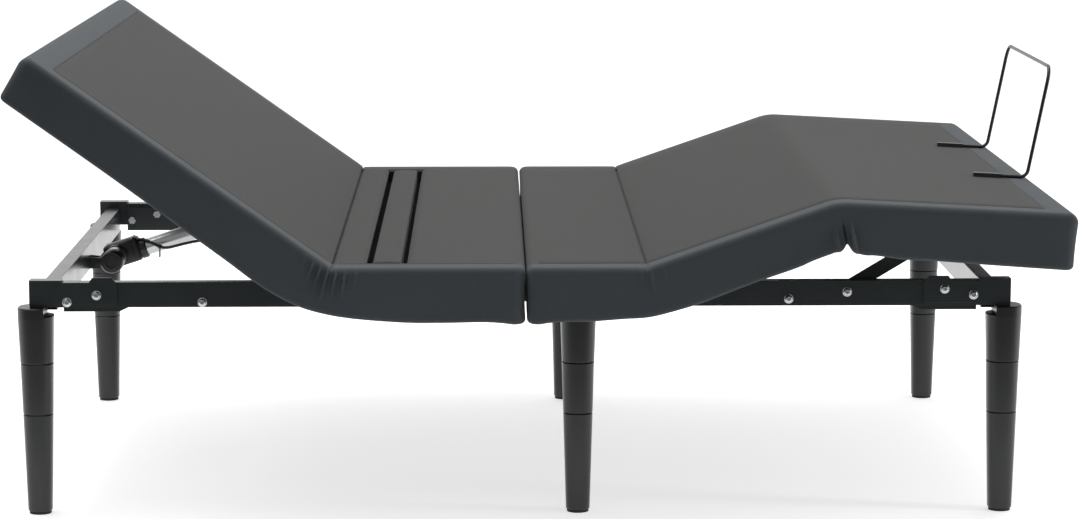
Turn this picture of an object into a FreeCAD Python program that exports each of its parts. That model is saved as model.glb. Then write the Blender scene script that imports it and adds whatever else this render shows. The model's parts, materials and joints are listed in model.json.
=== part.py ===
"""Adjustable bed base: two hinged half frames on six legs, with a lifting head, thigh and foot section.

Millimetres, +Z up, +X from the head end to the foot end. The pieces are first laid out with X = 0 at
the gap between the two halves of the base, and at the end all of them are moved together so that the
origin is the centre of the bounding box, on the floor.
"""
import FreeCAD
import Part
import Sketcher
import math
import os
import re

# name: (value, what it is)
DIMENSIONS = {
    # deck
    "deck_width": (1524, "overall width of the deck"),
    "deck_top": (495, "height of the flat deck above the floor"),
    "deck_gap": (11, "gap between the two halves of the base"),
    "board_thick": (15, "deck boards"),
    "pad_thick": (25, "foam on top of the boards"),
    "skirt_thick": (18, "side panels"),
    "skirt_depth": (105, "height of the deck's edge"),
    "end_panel_depth": (28, "height of the panels beside the gap"),
    "rail_clearance": (1, "those panels to the rails that pass below them"),
    "panel_gap": (1.5, "play between pieces of neighbouring sections"),
    "head_pivot_x": (366, "gap to head hinge"),
    "thigh_pivot_x": (227, "gap to thigh hinge"),
    "head_length": (679, "head hinge to head end"),
    "thigh_length": (361, "thigh hinge to knee hinge"),
    "foot_length": (426, "knee hinge to foot end"),
    "pivot_drop": (8, "hinge axes below the boards"),
    "head_rest": (35.4, "head section's angle as stored"),
    "head_highest": (60, "head section's greatest angle"),
    "thigh_rest": (19.1, "thigh section's angle as stored"),
    "thigh_highest": (35, "thigh section's greatest angle"),
    "foot_slope": (3, "foot section's slope towards the floor as stored"),
    "slat_x": (253.5, "gap to the middle of the lumbar slat"),
    "slat_width": (52, "lumbar slat"),
    "slat_length": (1376, "lumbar slat"),
    "slot_width": (11, "slots beside the lumbar slat"),
    # frame
    "rail_y": (553, "middle of the side rails"),
    "rail_width": (25, "side rails"),
    "rail_height": (47, "side rails"),
    "rail_wall": (1.8, "side rails"),
    "rail_bottom": (393, "underside of the side rails"),
    "head_rail_end": (922, "gap to the rails' head ends"),
    "foot_rail_end": (907, "gap to the rails' foot ends"),
    "fold_gap": (3, "half of the play between the folding rails"),
    "cross_width": (28, "end cross members"),
    "cross_height": (50, "end cross members"),
    "cross_wall": (2, "cross members"),
    "cross_bottom": (381, "underside of the end cross members"),
    "head_cross_x": (891, "gap to the head cross member's middle"),
    "foot_cross_x": (873, "gap to the foot cross member's middle"),
    "middle_cross_x": (35, "gap to the middle cross member"),
    "middle_cross_width": (25, "middle cross member"),
    "middle_cross_height": (40, "middle cross member"),
    "plate_thick": (4, "pressed steel plates"),
    "plate_inset": (5, "plates' edges to the rails' edges"),
    "fold_plate_length": (180, "plates that join the two halves"),
    "bracket_length": (163, "corner brackets"),
    "bracket_hump": (9, "rise of the corner brackets round their upper bolt"),
    "hump_width": (36, "corner brackets' hump"),
    "hump_ramp": (10, "slope at the outer side of the hump"),
    "lip_length": (60, "corner brackets' lips on top of the rails"),
    "gusset_start": (60, "rail ends to the gussets"),
    "gusset_length": (104, "straight lower edge of a gusset"),
    "gusset_taper": (30, "tapered end of a gusset"),
    "gusset_drop": (12, "gussets below the rails"),
    "bearer_width": (28, "bearers that carry the seat boards"),
    "bearer_x": (60, "gap to the bearers on either side of it"),
    "bearer_inset": (46, "thigh hinge to the last bearer's middle"),
    "bolt_radius": (5, "frame bolts"),
    "bolt_head_radius": (8.5, "frame bolts"),
    "bolt_head_height": (5, "frame bolts"),
    # legs
    "leg_head_x": (912, "gap to the head legs"),
    "leg_middle_x": (99, "gap to the middle legs"),
    "leg_foot_x": (896, "gap to the foot legs"),
    "leg_top_radius": (33.5, "top of a leg"),
    "leg_foot_radius": (22.5, "foot of a leg"),
    "leg_low_seam": (190, "top of the bottom leg segment"),
    "leg_high_seam": (287, "top of the middle leg segment"),
    "leg_notch": (16, "height of the step in the top of a leg"),
    "notch_reach": (18, "a leg's axis to the step in its top"),
    "glide_height": (6, "rubber glides"),
    "seam_gap": (1, "groove between leg segments"),
    "stud_radius": (6, "leg studs"),
    "stud_length": (60, "leg studs"),
    "stud_depth": (45, "leg studs' length inside the legs"),
    # hinges
    "hinge_pin_radius": (3, "hinge pins"),
    "hinge_play": (0.05, "radial play of a hinge pin"),
    "knuckle_radius": (5.5, "hinge knuckles"),
    "leaf_thick": (5, "hinge leaves"),
    "leaf_length": (40, "hinge leaves"),
    "knuckle_width": (30, "one hinge knuckle"),
    "hinge_y": (420, "middle of the hinges"),
    # lift mechanisms
    "tube_radius": (14, "lift tubes"),
    "tube_drop": (25, "lift tubes below the hinge axes"),
    "tube_play": (0.08, "radial play of a lift tube in its bearings"),
    "bearing_width": (24, "lift tube bearings"),
    "bearing_wall": (8, "lift tube bearings round the tube"),
    "hub_wall": (6, "hubs of arms and levers round the lift tubes"),
    "arm_y": (250, "middle of the lift arms"),
    "arm_thick": (8, "lift arms and levers"),
    "arm_height": (16, "lift arms and levers"),
    "lever_y": (12, "middle plane to the lever plates"),
    "head_arm": (330, "head lift arms"),
    "leg_arm": (170, "leg lift arms"),
    "leg_tube_offset": (113, "thigh hinge to leg lift tube"),
    "roller_radius": (20, "rollers"),
    "roller_width": (24, "rollers"),
    "roller_bore": (5, "rollers"),
    "roller_gap": (0.5, "rollers below the boards' wear plates"),
    "wear_plate": (2, "wear plates under the boards"),
    # actuators
    "mount_reach": (17, "head cross member to the head actuator's rear pin"),
    "head_mount_z": (392, "height of the head actuator's rear pin"),
    "leg_mount_x": (30, "gap to the leg actuator's rear pin"),
    "leg_mount_z": (342, "height of the leg actuator's rear pin"),
    "pin_radius": (5, "actuator pins"),
    "head_lever": (153, "head lift tube to the actuator's front pin"),
    "leg_lever": (76.5, "leg lift tube to the actuator's front pin"),
    "leg_lever_angle": (123, "leg lever below its arms"),
    "head_slot_near": (149, "near end of the head lever's slot"),
    "head_slot_far": (192, "far end of the head lever's slot"),
    "head_slot_play": (6.2, "half of the slot's width beyond the pin"),
    "leg_slot_near": (74, "near end of the leg lever's slot"),
    "leg_slot_far": (93, "far end of the leg lever's slot"),
    "leg_slot_play": (2.6, "half of the slot's width beyond the pin"),
    "slot_wall": (7, "steel round the levers' slots"),
    "housing_radius": (17, "actuators' outer tubes"),
    "rod_radius": (11, "actuators' rods"),
    "motor_radius": (23, "actuator motors"),
    "motor_length": (92, "actuator motors"),
    "gear_start": (18, "rear pin to the gear housings"),
    "gear_length": (72, "actuator gear housings"),
    "gear_height": (48, "actuator gear housings"),
    "gear_width": (44, "actuator gear housings"),
    "head_tube_length": (262, "head actuator's outer tube from its rear pin"),
    "leg_tube_length": (206, "leg actuator's outer tube from its rear pin"),
    "head_rod_start": (178, "rear pin to the hidden end of the head actuator's rod"),
    "leg_rod_start": (150, "rear pin to the hidden end of the leg actuator's rod"),
    "eye_width": (20, "actuators' rear eyes"),
    "eye_wall": (6, "actuators' rear eyes round their pins"),
    "front_eye_width": (16, "actuators' front eyes"),
    "clevis_y": (11, "middle plane to the clevis ears"),
    "clevis_pin": (36, "length of the actuators' rear pins"),
    "clevis_ear": (10, "clevis ears beyond the middle of their pins"),
    # foot links
    "link_x": (601, "gap to the links' lower pins"),
    "link_z": (419, "height of the links' lower pins"),
    "link_drop": (50, "links' upper pins below the foot section's hinge plane"),
    "link_width": (26, "foot links"),
    "link_thick": (5, "foot links"),
    "link_side_play": (2, "gap between the foot links and the gussets"),
    "link_bracket_gap": (5, "gap between the foot links and their brackets"),
    "link_pin_length": (15, "foot link pins"),
    "link_pin_radius": (4, "foot link pins"),
    "window_wall": (8, "steel round the windows of the foot link brackets"),
    "window_play": (1, "room round the pins in those windows"),
    # retainer bar
    "bar_radius": (3.5, "mattress retainer bar"),
    "bar_half_width": (255, "retainer bar"),
    "bar_height": (217, "retainer bar above the foot section"),
    "bar_foot": (95, "length of the bar that lies on the foot section"),
    "bar_inset": (12, "retainer bar's bends to the foot end"),
    "bar_lean": (8, "retainer bar's lean to the foot end, degrees"),
    "bar_bend": (26, "inner radius of the bar's upper corners"),
    "bar_low_bend": (12, "inner radius of the bar's lower bends"),
    "socket_length": (54, "sleeves that hold the retainer bar"),
    "socket_width": (14, "sleeves that hold the retainer bar"),
    "socket_height": (8, "sleeves that hold the retainer bar"),
    "socket_start": (10, "sleeves beyond the ends of the bar"),
    # control box and cable
    "box_length": (180, "control box"),
    "box_width": (90, "control box"),
    "box_height": (38, "control box"),
    "box_x": (45, "gap to the control box"),
    "box_y": (60, "middle plane to the control box"),
    "cable_radius": (3, "actuator cable"),
    "tie_width": (5, "cable tie"),
    "tie_wall": (1.5, "cable tie round the cable"),
    "tie_tail": (22, "free end of the cable tie"),
}

doc = FreeCAD.newDocument("adjustable_bed_base")
sheet = doc.addObject("Spreadsheet::Sheet", "dims")
for row, (name, (amount, meaning)) in enumerate(DIMENSIONS.items(), start=1):
    sheet.set(f"A{row}", str(amount))
    sheet.set(f"B{row}", "'" + meaning)
    sheet.setAlias(f"A{row}", name)
doc.recompute()

WORD = re.compile(r"[a-z][a-z0-9_]*")
VECTOR = FreeCAD.Vector
Y_AXIS = VECTOR(0, 1, 0)
PIECES = {}


def bind(text):
    """Point every dimension's name in an expression at the sheet."""
    return WORD.sub(lambda word: f"dims.{word[0]}" if word[0] in DIMENSIONS else word[0], str(text))


def number(text):
    """What an expression of dimensions comes to."""
    return float(sheet.evalExpression(bind(text)))


def unused(name):
    """A document name that is still free."""
    taken = {thing.Name for thing in doc.Objects}
    count = 1
    while f"{name}_{count}" in taken:
        count += 1
    return f"{name}_{count}"


# ---- building blocks -------------------------------------------------------------------------

def outline(body, name, role, corners, offset):
    """A closed sketch through corners, each a pair of expressions, bound to the sheet."""
    sketch = body.newObject("Sketcher::SketchObject", name)
    plane = [feature for feature in body.Origin.OriginFeatures if feature.Role == role][0]
    sketch.AttachmentSupport = [(plane, "")]
    sketch.MapMode = "FlatFace"
    sketch.setExpression("AttachmentOffset.Base.z", bind(offset))
    points = [VECTOR(number(across), number(up), 0) for across, up in corners]
    count = len(points)
    for index in range(count):
        sketch.addGeometry(Part.LineSegment(points[index], points[(index + 1) % count]), False)
    for index in range(count):
        sketch.addConstraint(Sketcher.Constraint("Coincident", index, 2, (index + 1) % count, 1))
    for index, (across, up) in enumerate(corners):
        for kind, text, amount in (("DistanceX", across, points[index].x),
                                   ("DistanceY", up, points[index].y)):
            place = sketch.addConstraint(Sketcher.Constraint(kind, -1, 1, index, 1, amount))
            sketch.setExpression(f"Constraints[{place}]", bind(text))
    return sketch


def pad(name, role, corners, offset, length):
    body = doc.addObject("PartDesign::Body", unused(name))
    sketch = outline(body, body.Name + "_outline", role, corners, offset)
    feature = body.newObject("PartDesign::Pad", body.Name + "_pad")
    feature.Profile = sketch
    feature.setExpression("Length", bind(length))
    return body


def prism(name, corners, y_high, width):
    """A plate whose outline lies in the XZ plane, from y_high towards -Y."""
    return pad(name, "XZ_Plane", corners, f"-({y_high})", width)


def box(name, low, size):
    block = doc.addObject("Part::Box", unused(name))
    for side, text in zip(("Length", "Width", "Height"), size):
        block.setExpression(side, bind(text))
    for axis, text in zip("xyz", low):
        block.setExpression(f"Placement.Base.{axis}", bind(text))
    return block


def rod(name, start, radius, length, axis="y"):
    """A cylinder from start along the given axis."""
    cylinder = doc.addObject("Part::Cylinder", unused(name))
    cylinder.setExpression("Radius", bind(radius))
    cylinder.setExpression("Height", bind(length))
    turns = {"x": FreeCAD.Rotation(Y_AXIS, 90), "y": FreeCAD.Rotation(VECTOR(1, 0, 0), -90),
             "z": FreeCAD.Rotation()}
    cylinder.Placement = FreeCAD.Placement(VECTOR(), turns[axis])
    for letter, text in zip("xyz", start):
        cylinder.setExpression(f"Placement.Base.{letter}", bind(text))
    return cylinder


def cone(name, start, low_radius, high_radius, length):
    taper = doc.addObject("Part::Cone", unused(name))
    taper.setExpression("Radius1", bind(low_radius))
    taper.setExpression("Radius2", bind(high_radius))
    taper.setExpression("Height", bind(length))
    for letter, text in zip("xyz", start):
        taper.setExpression(f"Placement.Base.{letter}", bind(text))
    return taper


def cut(name, base, tools):
    """base without the tools."""
    shape = base
    for tool in tools:
        step = doc.addObject("Part::Cut", unused(name + "_cut"))
        step.Base = shape
        step.Tool = tool
        shape = step
    return shape


def weld(name, members):
    """Members joined into one solid."""
    joined = doc.addObject("Part::MultiFuse", unused(name + "_weld"))
    joined.Shapes = members
    return joined


def group(name, members):
    """Separate solids of one sub-part."""
    gathered = doc.addObject("Part::Compound", unused(name + "_group"))
    gathered.Links = members
    return gathered


def tube(name, low, size, wall, along):
    """A rectangular tube, open at both ends, along x or y."""
    inner_low = list(low)
    inner_size = list(size)
    for index, axis in enumerate("xyz"):
        if axis == along:
            inner_low[index] = f"{low[index]} - 1"
            inner_size[index] = f"{size[index]} + 2"
        else:
            inner_low[index] = f"{low[index]} + {wall}"
            inner_size[index] = f"{size[index]} - 2 * {wall}"
    return cut(name, box(name, low, size), [box(name + "_bore", inner_low, inner_size)])


def finish(label, shape, frame):
    """Name a sub-part and say which moving frame it belongs to.

    A plain primitive's own place is bound to the sheet, so it is carried by a group that can move.
    """
    if shape.TypeId in ("Part::Box", "Part::Cylinder"):
        shape = group(label, [shape])
    shape.Label = label
    PIECES[label] = (shape, frame)


# ---- where each moving frame lies at rest ----------------------------------------------------

def turned(x, z, angle):
    """A frame at (x, z); a positive angle lifts what lies towards -X."""
    return FreeCAD.Placement(VECTOR(x, 0, z), FreeCAD.Rotation(Y_AXIS, angle))


PIVOT_Z = number("deck_top - pad_thick - board_thick - pivot_drop")
HEAD_REST = number("head_rest")
THIGH_REST = number("thigh_rest")
KNEE_REST = THIGH_REST + number("foot_slope")
KNEE_RATIO = KNEE_REST / THIGH_REST
CONTACT = number("pivot_drop - wear_plate - roller_radius - roller_gap")


def arm_angle(section_angle, offset, arm):
    """The angle at which a lift arm's roller meets the board of a section."""
    section = math.radians(section_angle)
    rise = offset * math.sin(section) + number("tube_drop") * math.cos(section) + CONTACT
    return section_angle + math.degrees(math.asin(rise / arm))


def arm_gearing(highest, offset, arm):
    """The arm's angle on the flat deck, and its turn for each degree of the section."""
    flat = arm_angle(0, offset, arm)
    top = arm_angle(highest, offset, arm)
    return flat, (top - flat) / highest


HEAD_FLAT_ARM, HEAD_LIFT_RATIO = arm_gearing(number("head_highest"), 0, number("head_arm"))
LEG_FLAT_ARM, LEG_LIFT_RATIO = arm_gearing(number("thigh_highest"), number("leg_tube_offset"),
                                           number("leg_arm"))
HEAD_ARM_REST = HEAD_FLAT_ARM + HEAD_LIFT_RATIO * HEAD_REST
LEG_ARM_REST = LEG_FLAT_ARM + LEG_LIFT_RATIO * THIGH_REST
TUBE_Z = PIVOT_Z - number("tube_drop")

HEAD_PIVOT = (-number("head_pivot_x"), PIVOT_Z)
THIGH_PIVOT = (number("thigh_pivot_x"), PIVOT_Z)
HEAD_TUBE = (-number("head_pivot_x"), TUBE_Z)
LEG_TUBE = (number("thigh_pivot_x + leg_tube_offset"), TUBE_Z)


def beyond(point, distance, angle):
    """The point at a distance from another, at an angle above +X."""
    turn = math.radians(angle)
    return (point[0] + distance * math.cos(turn), point[1] + distance * math.sin(turn))


def between(start, end):
    """Distance and angle above +X from one point to another."""
    across = end[0] - start[0]
    up = end[1] - start[1]
    return math.hypot(across, up), math.degrees(math.atan2(up, across))


KNEE_PIVOT = beyond(THIGH_PIVOT, number("thigh_length"), THIGH_REST)
HEAD_PIN = beyond(HEAD_TUBE, number("head_lever"), 180 - HEAD_ARM_REST)
LEG_PIN = beyond(LEG_TUBE, number("leg_lever"), LEG_ARM_REST - number("leg_lever_angle"))
HEAD_MOUNT = (number("mount_reach + cross_width / 2 - head_cross_x"), number("head_mount_z"))
LEG_MOUNT = (number("leg_mount_x"), number("leg_mount_z"))
HEAD_REACH, HEAD_SLANT = between(HEAD_MOUNT, HEAD_PIN)
LEG_REACH, LEG_SLANT = between(LEG_MOUNT, LEG_PIN)
LINK_PIVOT = (number("link_x"), number("link_z"))


def link_reach():
    """Place the links' upper pins so that the links are as long on the flat deck as at rest."""
    drop = -number("link_drop")
    flat_knee = (THIGH_PIVOT[0] + number("thigh_length"), PIVOT_Z)
    flat = (flat_knee[0] - LINK_PIVOT[0], flat_knee[1] - LINK_PIVOT[1])
    rest = (KNEE_PIVOT[0] - LINK_PIVOT[0], KNEE_PIVOT[1] - LINK_PIVOT[1])
    slope = math.radians(number("foot_slope"))
    along = (math.cos(slope), -math.sin(slope))
    upright = (math.sin(slope), math.cos(slope))
    difference = rest[0] ** 2 + rest[1] ** 2 - flat[0] ** 2 - flat[1] ** 2
    difference += 2 * drop * (rest[0] * upright[0] + rest[1] * upright[1] - flat[1])
    reach = difference / (2 * (flat[0] - rest[0] * along[0] - rest[1] * along[1]))
    pin = (KNEE_PIVOT[0] + reach * along[0] + drop * upright[0],
           KNEE_PIVOT[1] + reach * along[1] + drop * upright[1])
    flat_pin = (flat_knee[0] + reach, flat_knee[1] + drop)
    return reach, pin, between(LINK_PIVOT, flat_pin)[1]


LINK_REACH, LINK_PIN, LINK_FLAT = link_reach()
LINK_LENGTH, LINK_SLANT = between(LINK_PIVOT, LINK_PIN)

FRAMES = {
    "base": FreeCAD.Placement(),
    "head": turned(*HEAD_PIVOT, HEAD_REST),
    "thigh": turned(*THIGH_PIVOT, -THIGH_REST),
    "foot": turned(*KNEE_PIVOT, KNEE_REST - THIGH_REST),
    "head_lift": turned(*HEAD_TUBE, HEAD_ARM_REST),
    "leg_lift": turned(*LEG_TUBE, -LEG_ARM_REST),
    "head_roller": turned(*beyond(HEAD_TUBE, number("head_arm"), 180 - HEAD_ARM_REST), 0),
    "leg_roller": turned(*beyond(LEG_TUBE, number("leg_arm"), LEG_ARM_REST), 0),
    "head_actuator": turned(*HEAD_MOUNT, -HEAD_SLANT),
    "leg_actuator": turned(*LEG_MOUNT, -LEG_SLANT),
    "link": turned(*LINK_PIVOT, -LINK_SLANT),
}

# Heights in a section's own frame, whose origin is on its hinge axis.
UNDERSIDE = "pivot_drop"
BOARD_TOP = "pivot_drop + board_thick"
PAD_TOP = "pivot_drop + board_thick + pad_thick"
SKIRT_BOTTOM = "pivot_drop + board_thick + pad_thick - skirt_depth"
HEAD_MITRE = "head_highest / 2"
THIGH_MITRE = "thigh_highest / 2"
KNEE_MITRE = f"thigh_highest * {KNEE_RATIO} / 2"


def edge(hinge, side, height):
    """How far from a hinge axis a section's edge stands at a height above the axis.

    A hinge that closes on top has a bevel above its axis, and the knee has one below it.
    """
    mitre = {"head": HEAD_MITRE, "thigh": THIGH_MITRE, "knee": KNEE_MITRE}[hinge]
    above = number(height) > 0
    bevelled = not above if hinge == "knee" else above
    if not bevelled:
        return f"{side} * panel_gap"
    sign = -1 if hinge == "knee" else 1
    return f"{side} * (panel_gap + {sign} * ({height}) * tan({mitre}))"


def strip(low, high, start, end):
    """The side outline of a section between two heights; start and end give its ends at a height."""
    heights = [low, high]
    if number(low) < 0 < number(high):
        heights.insert(1, "0")
    return [(start(height), height) for height in heights] + \
           [(end(height), height) for height in reversed(heights)]


def fixed(text):
    return lambda height: text


def hinge_edge(hinge, side, shift="0"):
    return lambda height: f"{shift} + {edge(hinge, side, height)}"


SECTIONS = {
    # name: (frame, end nearer the head, end nearer the foot), in the frame's own coordinates
    "head": ("head", fixed("-head_length"), hinge_edge("head", -1)),
    "head_seat": ("base", hinge_edge("head", 1, "-head_pivot_x"), fixed("-deck_gap / 2")),
    "foot_seat": ("base", fixed("deck_gap / 2"), hinge_edge("thigh", -1, "thigh_pivot_x")),
    "thigh": ("thigh", hinge_edge("thigh", 1), hinge_edge("knee", -1, "thigh_length")),
    "foot": ("foot", hinge_edge("knee", 1), fixed("foot_length")),
}


GAP_PANEL_Z = "deck_top - pad_thick - board_thick - end_panel_depth / 2"


def raised(shape_corners, frame):
    """Base pieces are drawn from the floor, so their heights start at the hinge axes' height."""
    if frame != "base":
        return shape_corners
    level = "deck_top - pad_thick - board_thick - pivot_drop"
    return [(across, f"{level} + ({up})") for across, up in shape_corners]


def section_prism(name, section, low, high, y_high, width):
    frame, start, end = SECTIONS[section]
    return prism(name, raised(strip(low, high, start, end), frame), y_high, width)


def rail_passages(x_low):
    """What is cut from a panel beside the gap, where the rails and their plates pass under it."""
    low = "rail_y - rail_width / 2 - plate_thick - rail_clearance"
    width = "rail_width + plate_thick + 2 * rail_clearance"
    return [box("passage", (f"{x_low} - 1", y_low, "rail_bottom"),
                ("skirt_thick + 2", width, "rail_height + rail_clearance"))
            for y_low in (low, f"-({low}) - ({width})")]


def make_section(section):
    """Board, pad and skirt of one section of the deck."""
    frame, start, end = SECTIONS[section]
    board = section_prism(section + "_board", section, UNDERSIDE, BOARD_TOP,
                          "deck_width / 2 - skirt_thick - 1", "deck_width - 2 * skirt_thick - 2")
    cover = section_prism(section + "_pad", section, BOARD_TOP, PAD_TOP, "deck_width / 2", "deck_width")
    if section == "head_seat":
        opening = ("-slat_x - slat_width / 2 - slot_width", "-slat_length / 2 - slot_width / 2",
                   "deck_top - pad_thick")
        size = ("slat_width + 2 * slot_width", "slat_length + slot_width", "pad_thick + 1")
        cover = cut(section + "_pad", cover, [box("slat_opening", opening, size)])
    finish(section + "_board", board, frame)
    finish(section + "_pad", cover, frame)
    panels = [section_prism(section + "_skirt", section, SKIRT_BOTTOM, BOARD_TOP, "deck_width / 2",
                            "skirt_thick"),
              section_prism(section + "_skirt", section, SKIRT_BOTTOM, BOARD_TOP,
                            "skirt_thick - deck_width / 2", "skirt_thick")]
    ends = {
        # x of the panel's low side, z of its low side, its height
        "head": ("-head_length", SKIRT_BOTTOM, "skirt_depth - pad_thick - board_thick - 1"),
        "foot": ("foot_length - skirt_thick", SKIRT_BOTTOM, "skirt_depth - pad_thick - board_thick - 1"),
        "head_seat": ("-deck_gap / 2 - skirt_thick", GAP_PANEL_Z, "end_panel_depth / 2 - 1"),
        "foot_seat": ("deck_gap / 2", GAP_PANEL_Z, "end_panel_depth / 2 - 1"),
    }
    if section in ends:
        x_low, z_low, height = ends[section]
        panel = box(section + "_end", (x_low, "skirt_thick - deck_width / 2", z_low),
                    ("skirt_thick", "deck_width - 2 * skirt_thick", height))
        panels.append(cut(section + "_end", panel, rail_passages(x_low)) if frame == "base" else panel)
    finish(section + "_skirt", group(section + "_skirt", panels), frame)


for section_name in SECTIONS:
    make_section(section_name)

finish("lumbar_slat", box("lumbar_slat", ("-slat_x - slat_width / 2", "-slat_length / 2",
                                          "deck_top - pad_thick"),
                          ("slat_width", "slat_length", "pad_thick")), "base")


# ---- hinges ----------------------------------------------------------------------------------

def bored_leaves(name, shift, level, side):
    """Leaves under a board; side says which way they reach from the axis at x = shift."""
    members = []
    for hand in (-1, 1):
        low_y = f"{hand} * hinge_y - knuckle_width / 2"
        start = f"{shift}" if side > 0 else f"{shift} - leaf_length"
        leaf = box(name, (start, low_y, f"{level} + pivot_drop - leaf_thick"),
                   ("leaf_length", "knuckle_width", "leaf_thick"))
        knuckle = rod(name, (shift, low_y, level), "knuckle_radius", "knuckle_width")
        bore = rod(name, (shift, f"{low_y} - 1", level), "hinge_pin_radius + hinge_play",
                   "knuckle_width + 2")
        members.append(cut(name, weld(name, [leaf, knuckle]), [bore]))
    return members


def pinned_leaves(name, shift, side):
    """Leaves with their pins, in a moving section's frame."""
    members = []
    for hand in (-1, 1):
        parts = []
        for place in (-1, 1):
            middle = f"{hand} * hinge_y + {place} * (knuckle_width * 0.8 + 0.5)"
            low_y = f"{middle} - knuckle_width * 0.3"
            start = f"{shift}" if side > 0 else f"{shift} - leaf_length"
            parts.append(box(name, (start, low_y, "pivot_drop - leaf_thick"),
                             ("leaf_length", "knuckle_width * 0.6", "leaf_thick")))
            parts.append(rod(name, (shift, low_y, "0"), "knuckle_radius", "knuckle_width * 0.6"))
        parts.append(rod(name, (shift, f"{hand} * hinge_y - knuckle_width * 1.2", "0"),
                         "hinge_pin_radius", "knuckle_width * 2.4"))
        members.append(weld(name, parts))
    return members


AXIS_LEVEL = "deck_top - pad_thick - board_thick - pivot_drop"
seat_leaves = bored_leaves("head_hinge", "-head_pivot_x", AXIS_LEVEL, 1)
seat_leaves += bored_leaves("thigh_hinge", "thigh_pivot_x", AXIS_LEVEL, -1)
finish("seat_hinge_leaves", group("seat_hinge_leaves", seat_leaves), "base")
finish("head_hinge_leaves", group("head_hinge_leaves", pinned_leaves("head_leaf", "0", -1)), "head")
thigh_leaves = pinned_leaves("thigh_leaf", "0", 1)
thigh_leaves += bored_leaves("knee_leaf", "thigh_length", "0", -1)
finish("thigh_hinge_leaves", group("thigh_hinge_leaves", thigh_leaves), "thigh")
finish("foot_hinge_leaves", group("foot_hinge_leaves", pinned_leaves("foot_leaf", "0", 1)), "foot")

# ---- frame -----------------------------------------------------------------------------------

RAIL_INNER = "rail_y - rail_width / 2"
RAIL_OUTER = "rail_y + rail_width / 2"
RAIL_TOP = "rail_bottom + rail_height"
BRACKET_FACE = f"{RAIL_OUTER} + plate_thick"
# Bolts through the rails: place along them, height above their underside, face under the bolt's head.
BOLTS = [
    ("70 - head_rail_end", "rail_height * 0.22", BRACKET_FACE),
    ("125 - head_rail_end", "rail_height * 0.5", BRACKET_FACE),
    ("321 - head_rail_end", "rail_height * 0.2", RAIL_OUTER),
    ("-fold_plate_length / 4", "rail_height * 0.5", RAIL_OUTER),
    ("fold_plate_length / 4", "rail_height * 0.5", RAIL_OUTER),
    ("link_x - 109", "rail_height * 0.28", RAIL_OUTER),
    ("link_x", "link_z - rail_bottom", RAIL_OUTER),
    ("foot_rail_end - 124", "rail_height * 0.68", BRACKET_FACE),
    ("foot_rail_end - 70", "rail_height * 0.44", BRACKET_FACE),
]
LEG_PLACES = ["-leg_head_x", "leg_middle_x", "leg_foot_x"]


def both_hands(y_low, width):
    """The low Y of a piece on the -Y side and of its mirror image."""
    return (f"-({y_low}) - ({width})", y_low)


def bolt_holes(name, hand):
    holes = []
    for across, up, face in BOLTS:
        holes.append(rod(name, (across, f"{hand} * rail_y - rail_width - plate_thick",
                                f"rail_bottom + {up}"),
                         "bolt_radius + 0.3", "2 * rail_width + 2 * plate_thick"))
    for across in LEG_PLACES:
        holes.append(rod(name, (across, f"{hand} * rail_y", "rail_bottom - 1"),
                         "stud_radius + 0.3", "rail_wall + 2", axis="z"))
    return group(name, holes)


def make_rail(label, hand, start, length):
    whole = tube(label, (start, f"{hand} * rail_y - rail_width / 2", "rail_bottom"),
                 (length, "rail_width", "rail_height"), "rail_wall", "x")
    finish(label, cut(label, whole, [bolt_holes(label + "_holes", hand)]), "base")


for hand, name in ((-1, "right"), (1, "left")):
    make_rail(f"{name}_head_rail", hand, "-head_rail_end", "head_rail_end - fold_gap")
    make_rail(f"{name}_foot_rail", hand, "fold_gap", "foot_rail_end - fold_gap")

plates = []
for hand in (-1, 1):
    low_y = both_hands(f"{RAIL_INNER} - plate_thick", "plate_thick")[(hand + 1) // 2]
    plate = box("fold_plate", ("-fold_plate_length / 2", low_y, "rail_bottom + plate_inset"),
                ("fold_plate_length", "plate_thick", "rail_height - 2 * plate_inset"))
    plates.append(cut("fold_plate", plate, [bolt_holes("fold_plate_holes", hand)]))
finish("fold_plates", group("fold_plates", plates), "base")


def end_cross(label, middle):
    """An end cross member, with its lower corners cut away round the tops of the legs."""
    whole = tube(label, (f"{middle} - cross_width / 2", f"-({RAIL_INNER})", "cross_bottom"),
                 ("cross_width", f"2 * ({RAIL_INNER})", "cross_height"), "cross_wall", "y")
    reach = "leg_top_radius + 1 - rail_width / 2"
    corners = [box(label + "_corner", (f"{middle} - cross_width", low_y, "cross_bottom - 1"),
                   ("2 * cross_width", f"{reach} + 1", "rail_bottom - cross_bottom + 2"))
               for low_y in (f"-({RAIL_INNER}) - 1", f"{RAIL_INNER} - ({reach})")]
    finish(label, cut(label, whole, corners), "base")


end_cross("head_cross_member", "-head_cross_x")
end_cross("foot_cross_member", "foot_cross_x")
finish("middle_cross_member",
       tube("middle_cross_member", ("middle_cross_x", f"plate_thick - ({RAIL_INNER})", "rail_bottom + 3"),
            ("middle_cross_width", f"2 * ({RAIL_INNER}) - 2 * plate_thick", "middle_cross_height"),
            "cross_wall", "y"), "base")


def corner_outline(end, way):
    """A corner bracket's side: a plate with a raised hump round its upper bolt."""
    def along(distance):
        return f"{end} + {way} * ({distance})"
    low = "rail_bottom + plate_inset"
    high = RAIL_TOP
    peak = f"{high} + bracket_hump"
    return [(along("0"), low), (along("bracket_length"), low), (along("bracket_length"), f"{high} - 2"),
            (along("bracket_length - hump_ramp"), peak),
            (along("bracket_length - hump_ramp - hump_width"), peak),
            (along("bracket_length - 1.6 * hump_ramp - hump_width"), high), (along("0"), high)]


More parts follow.
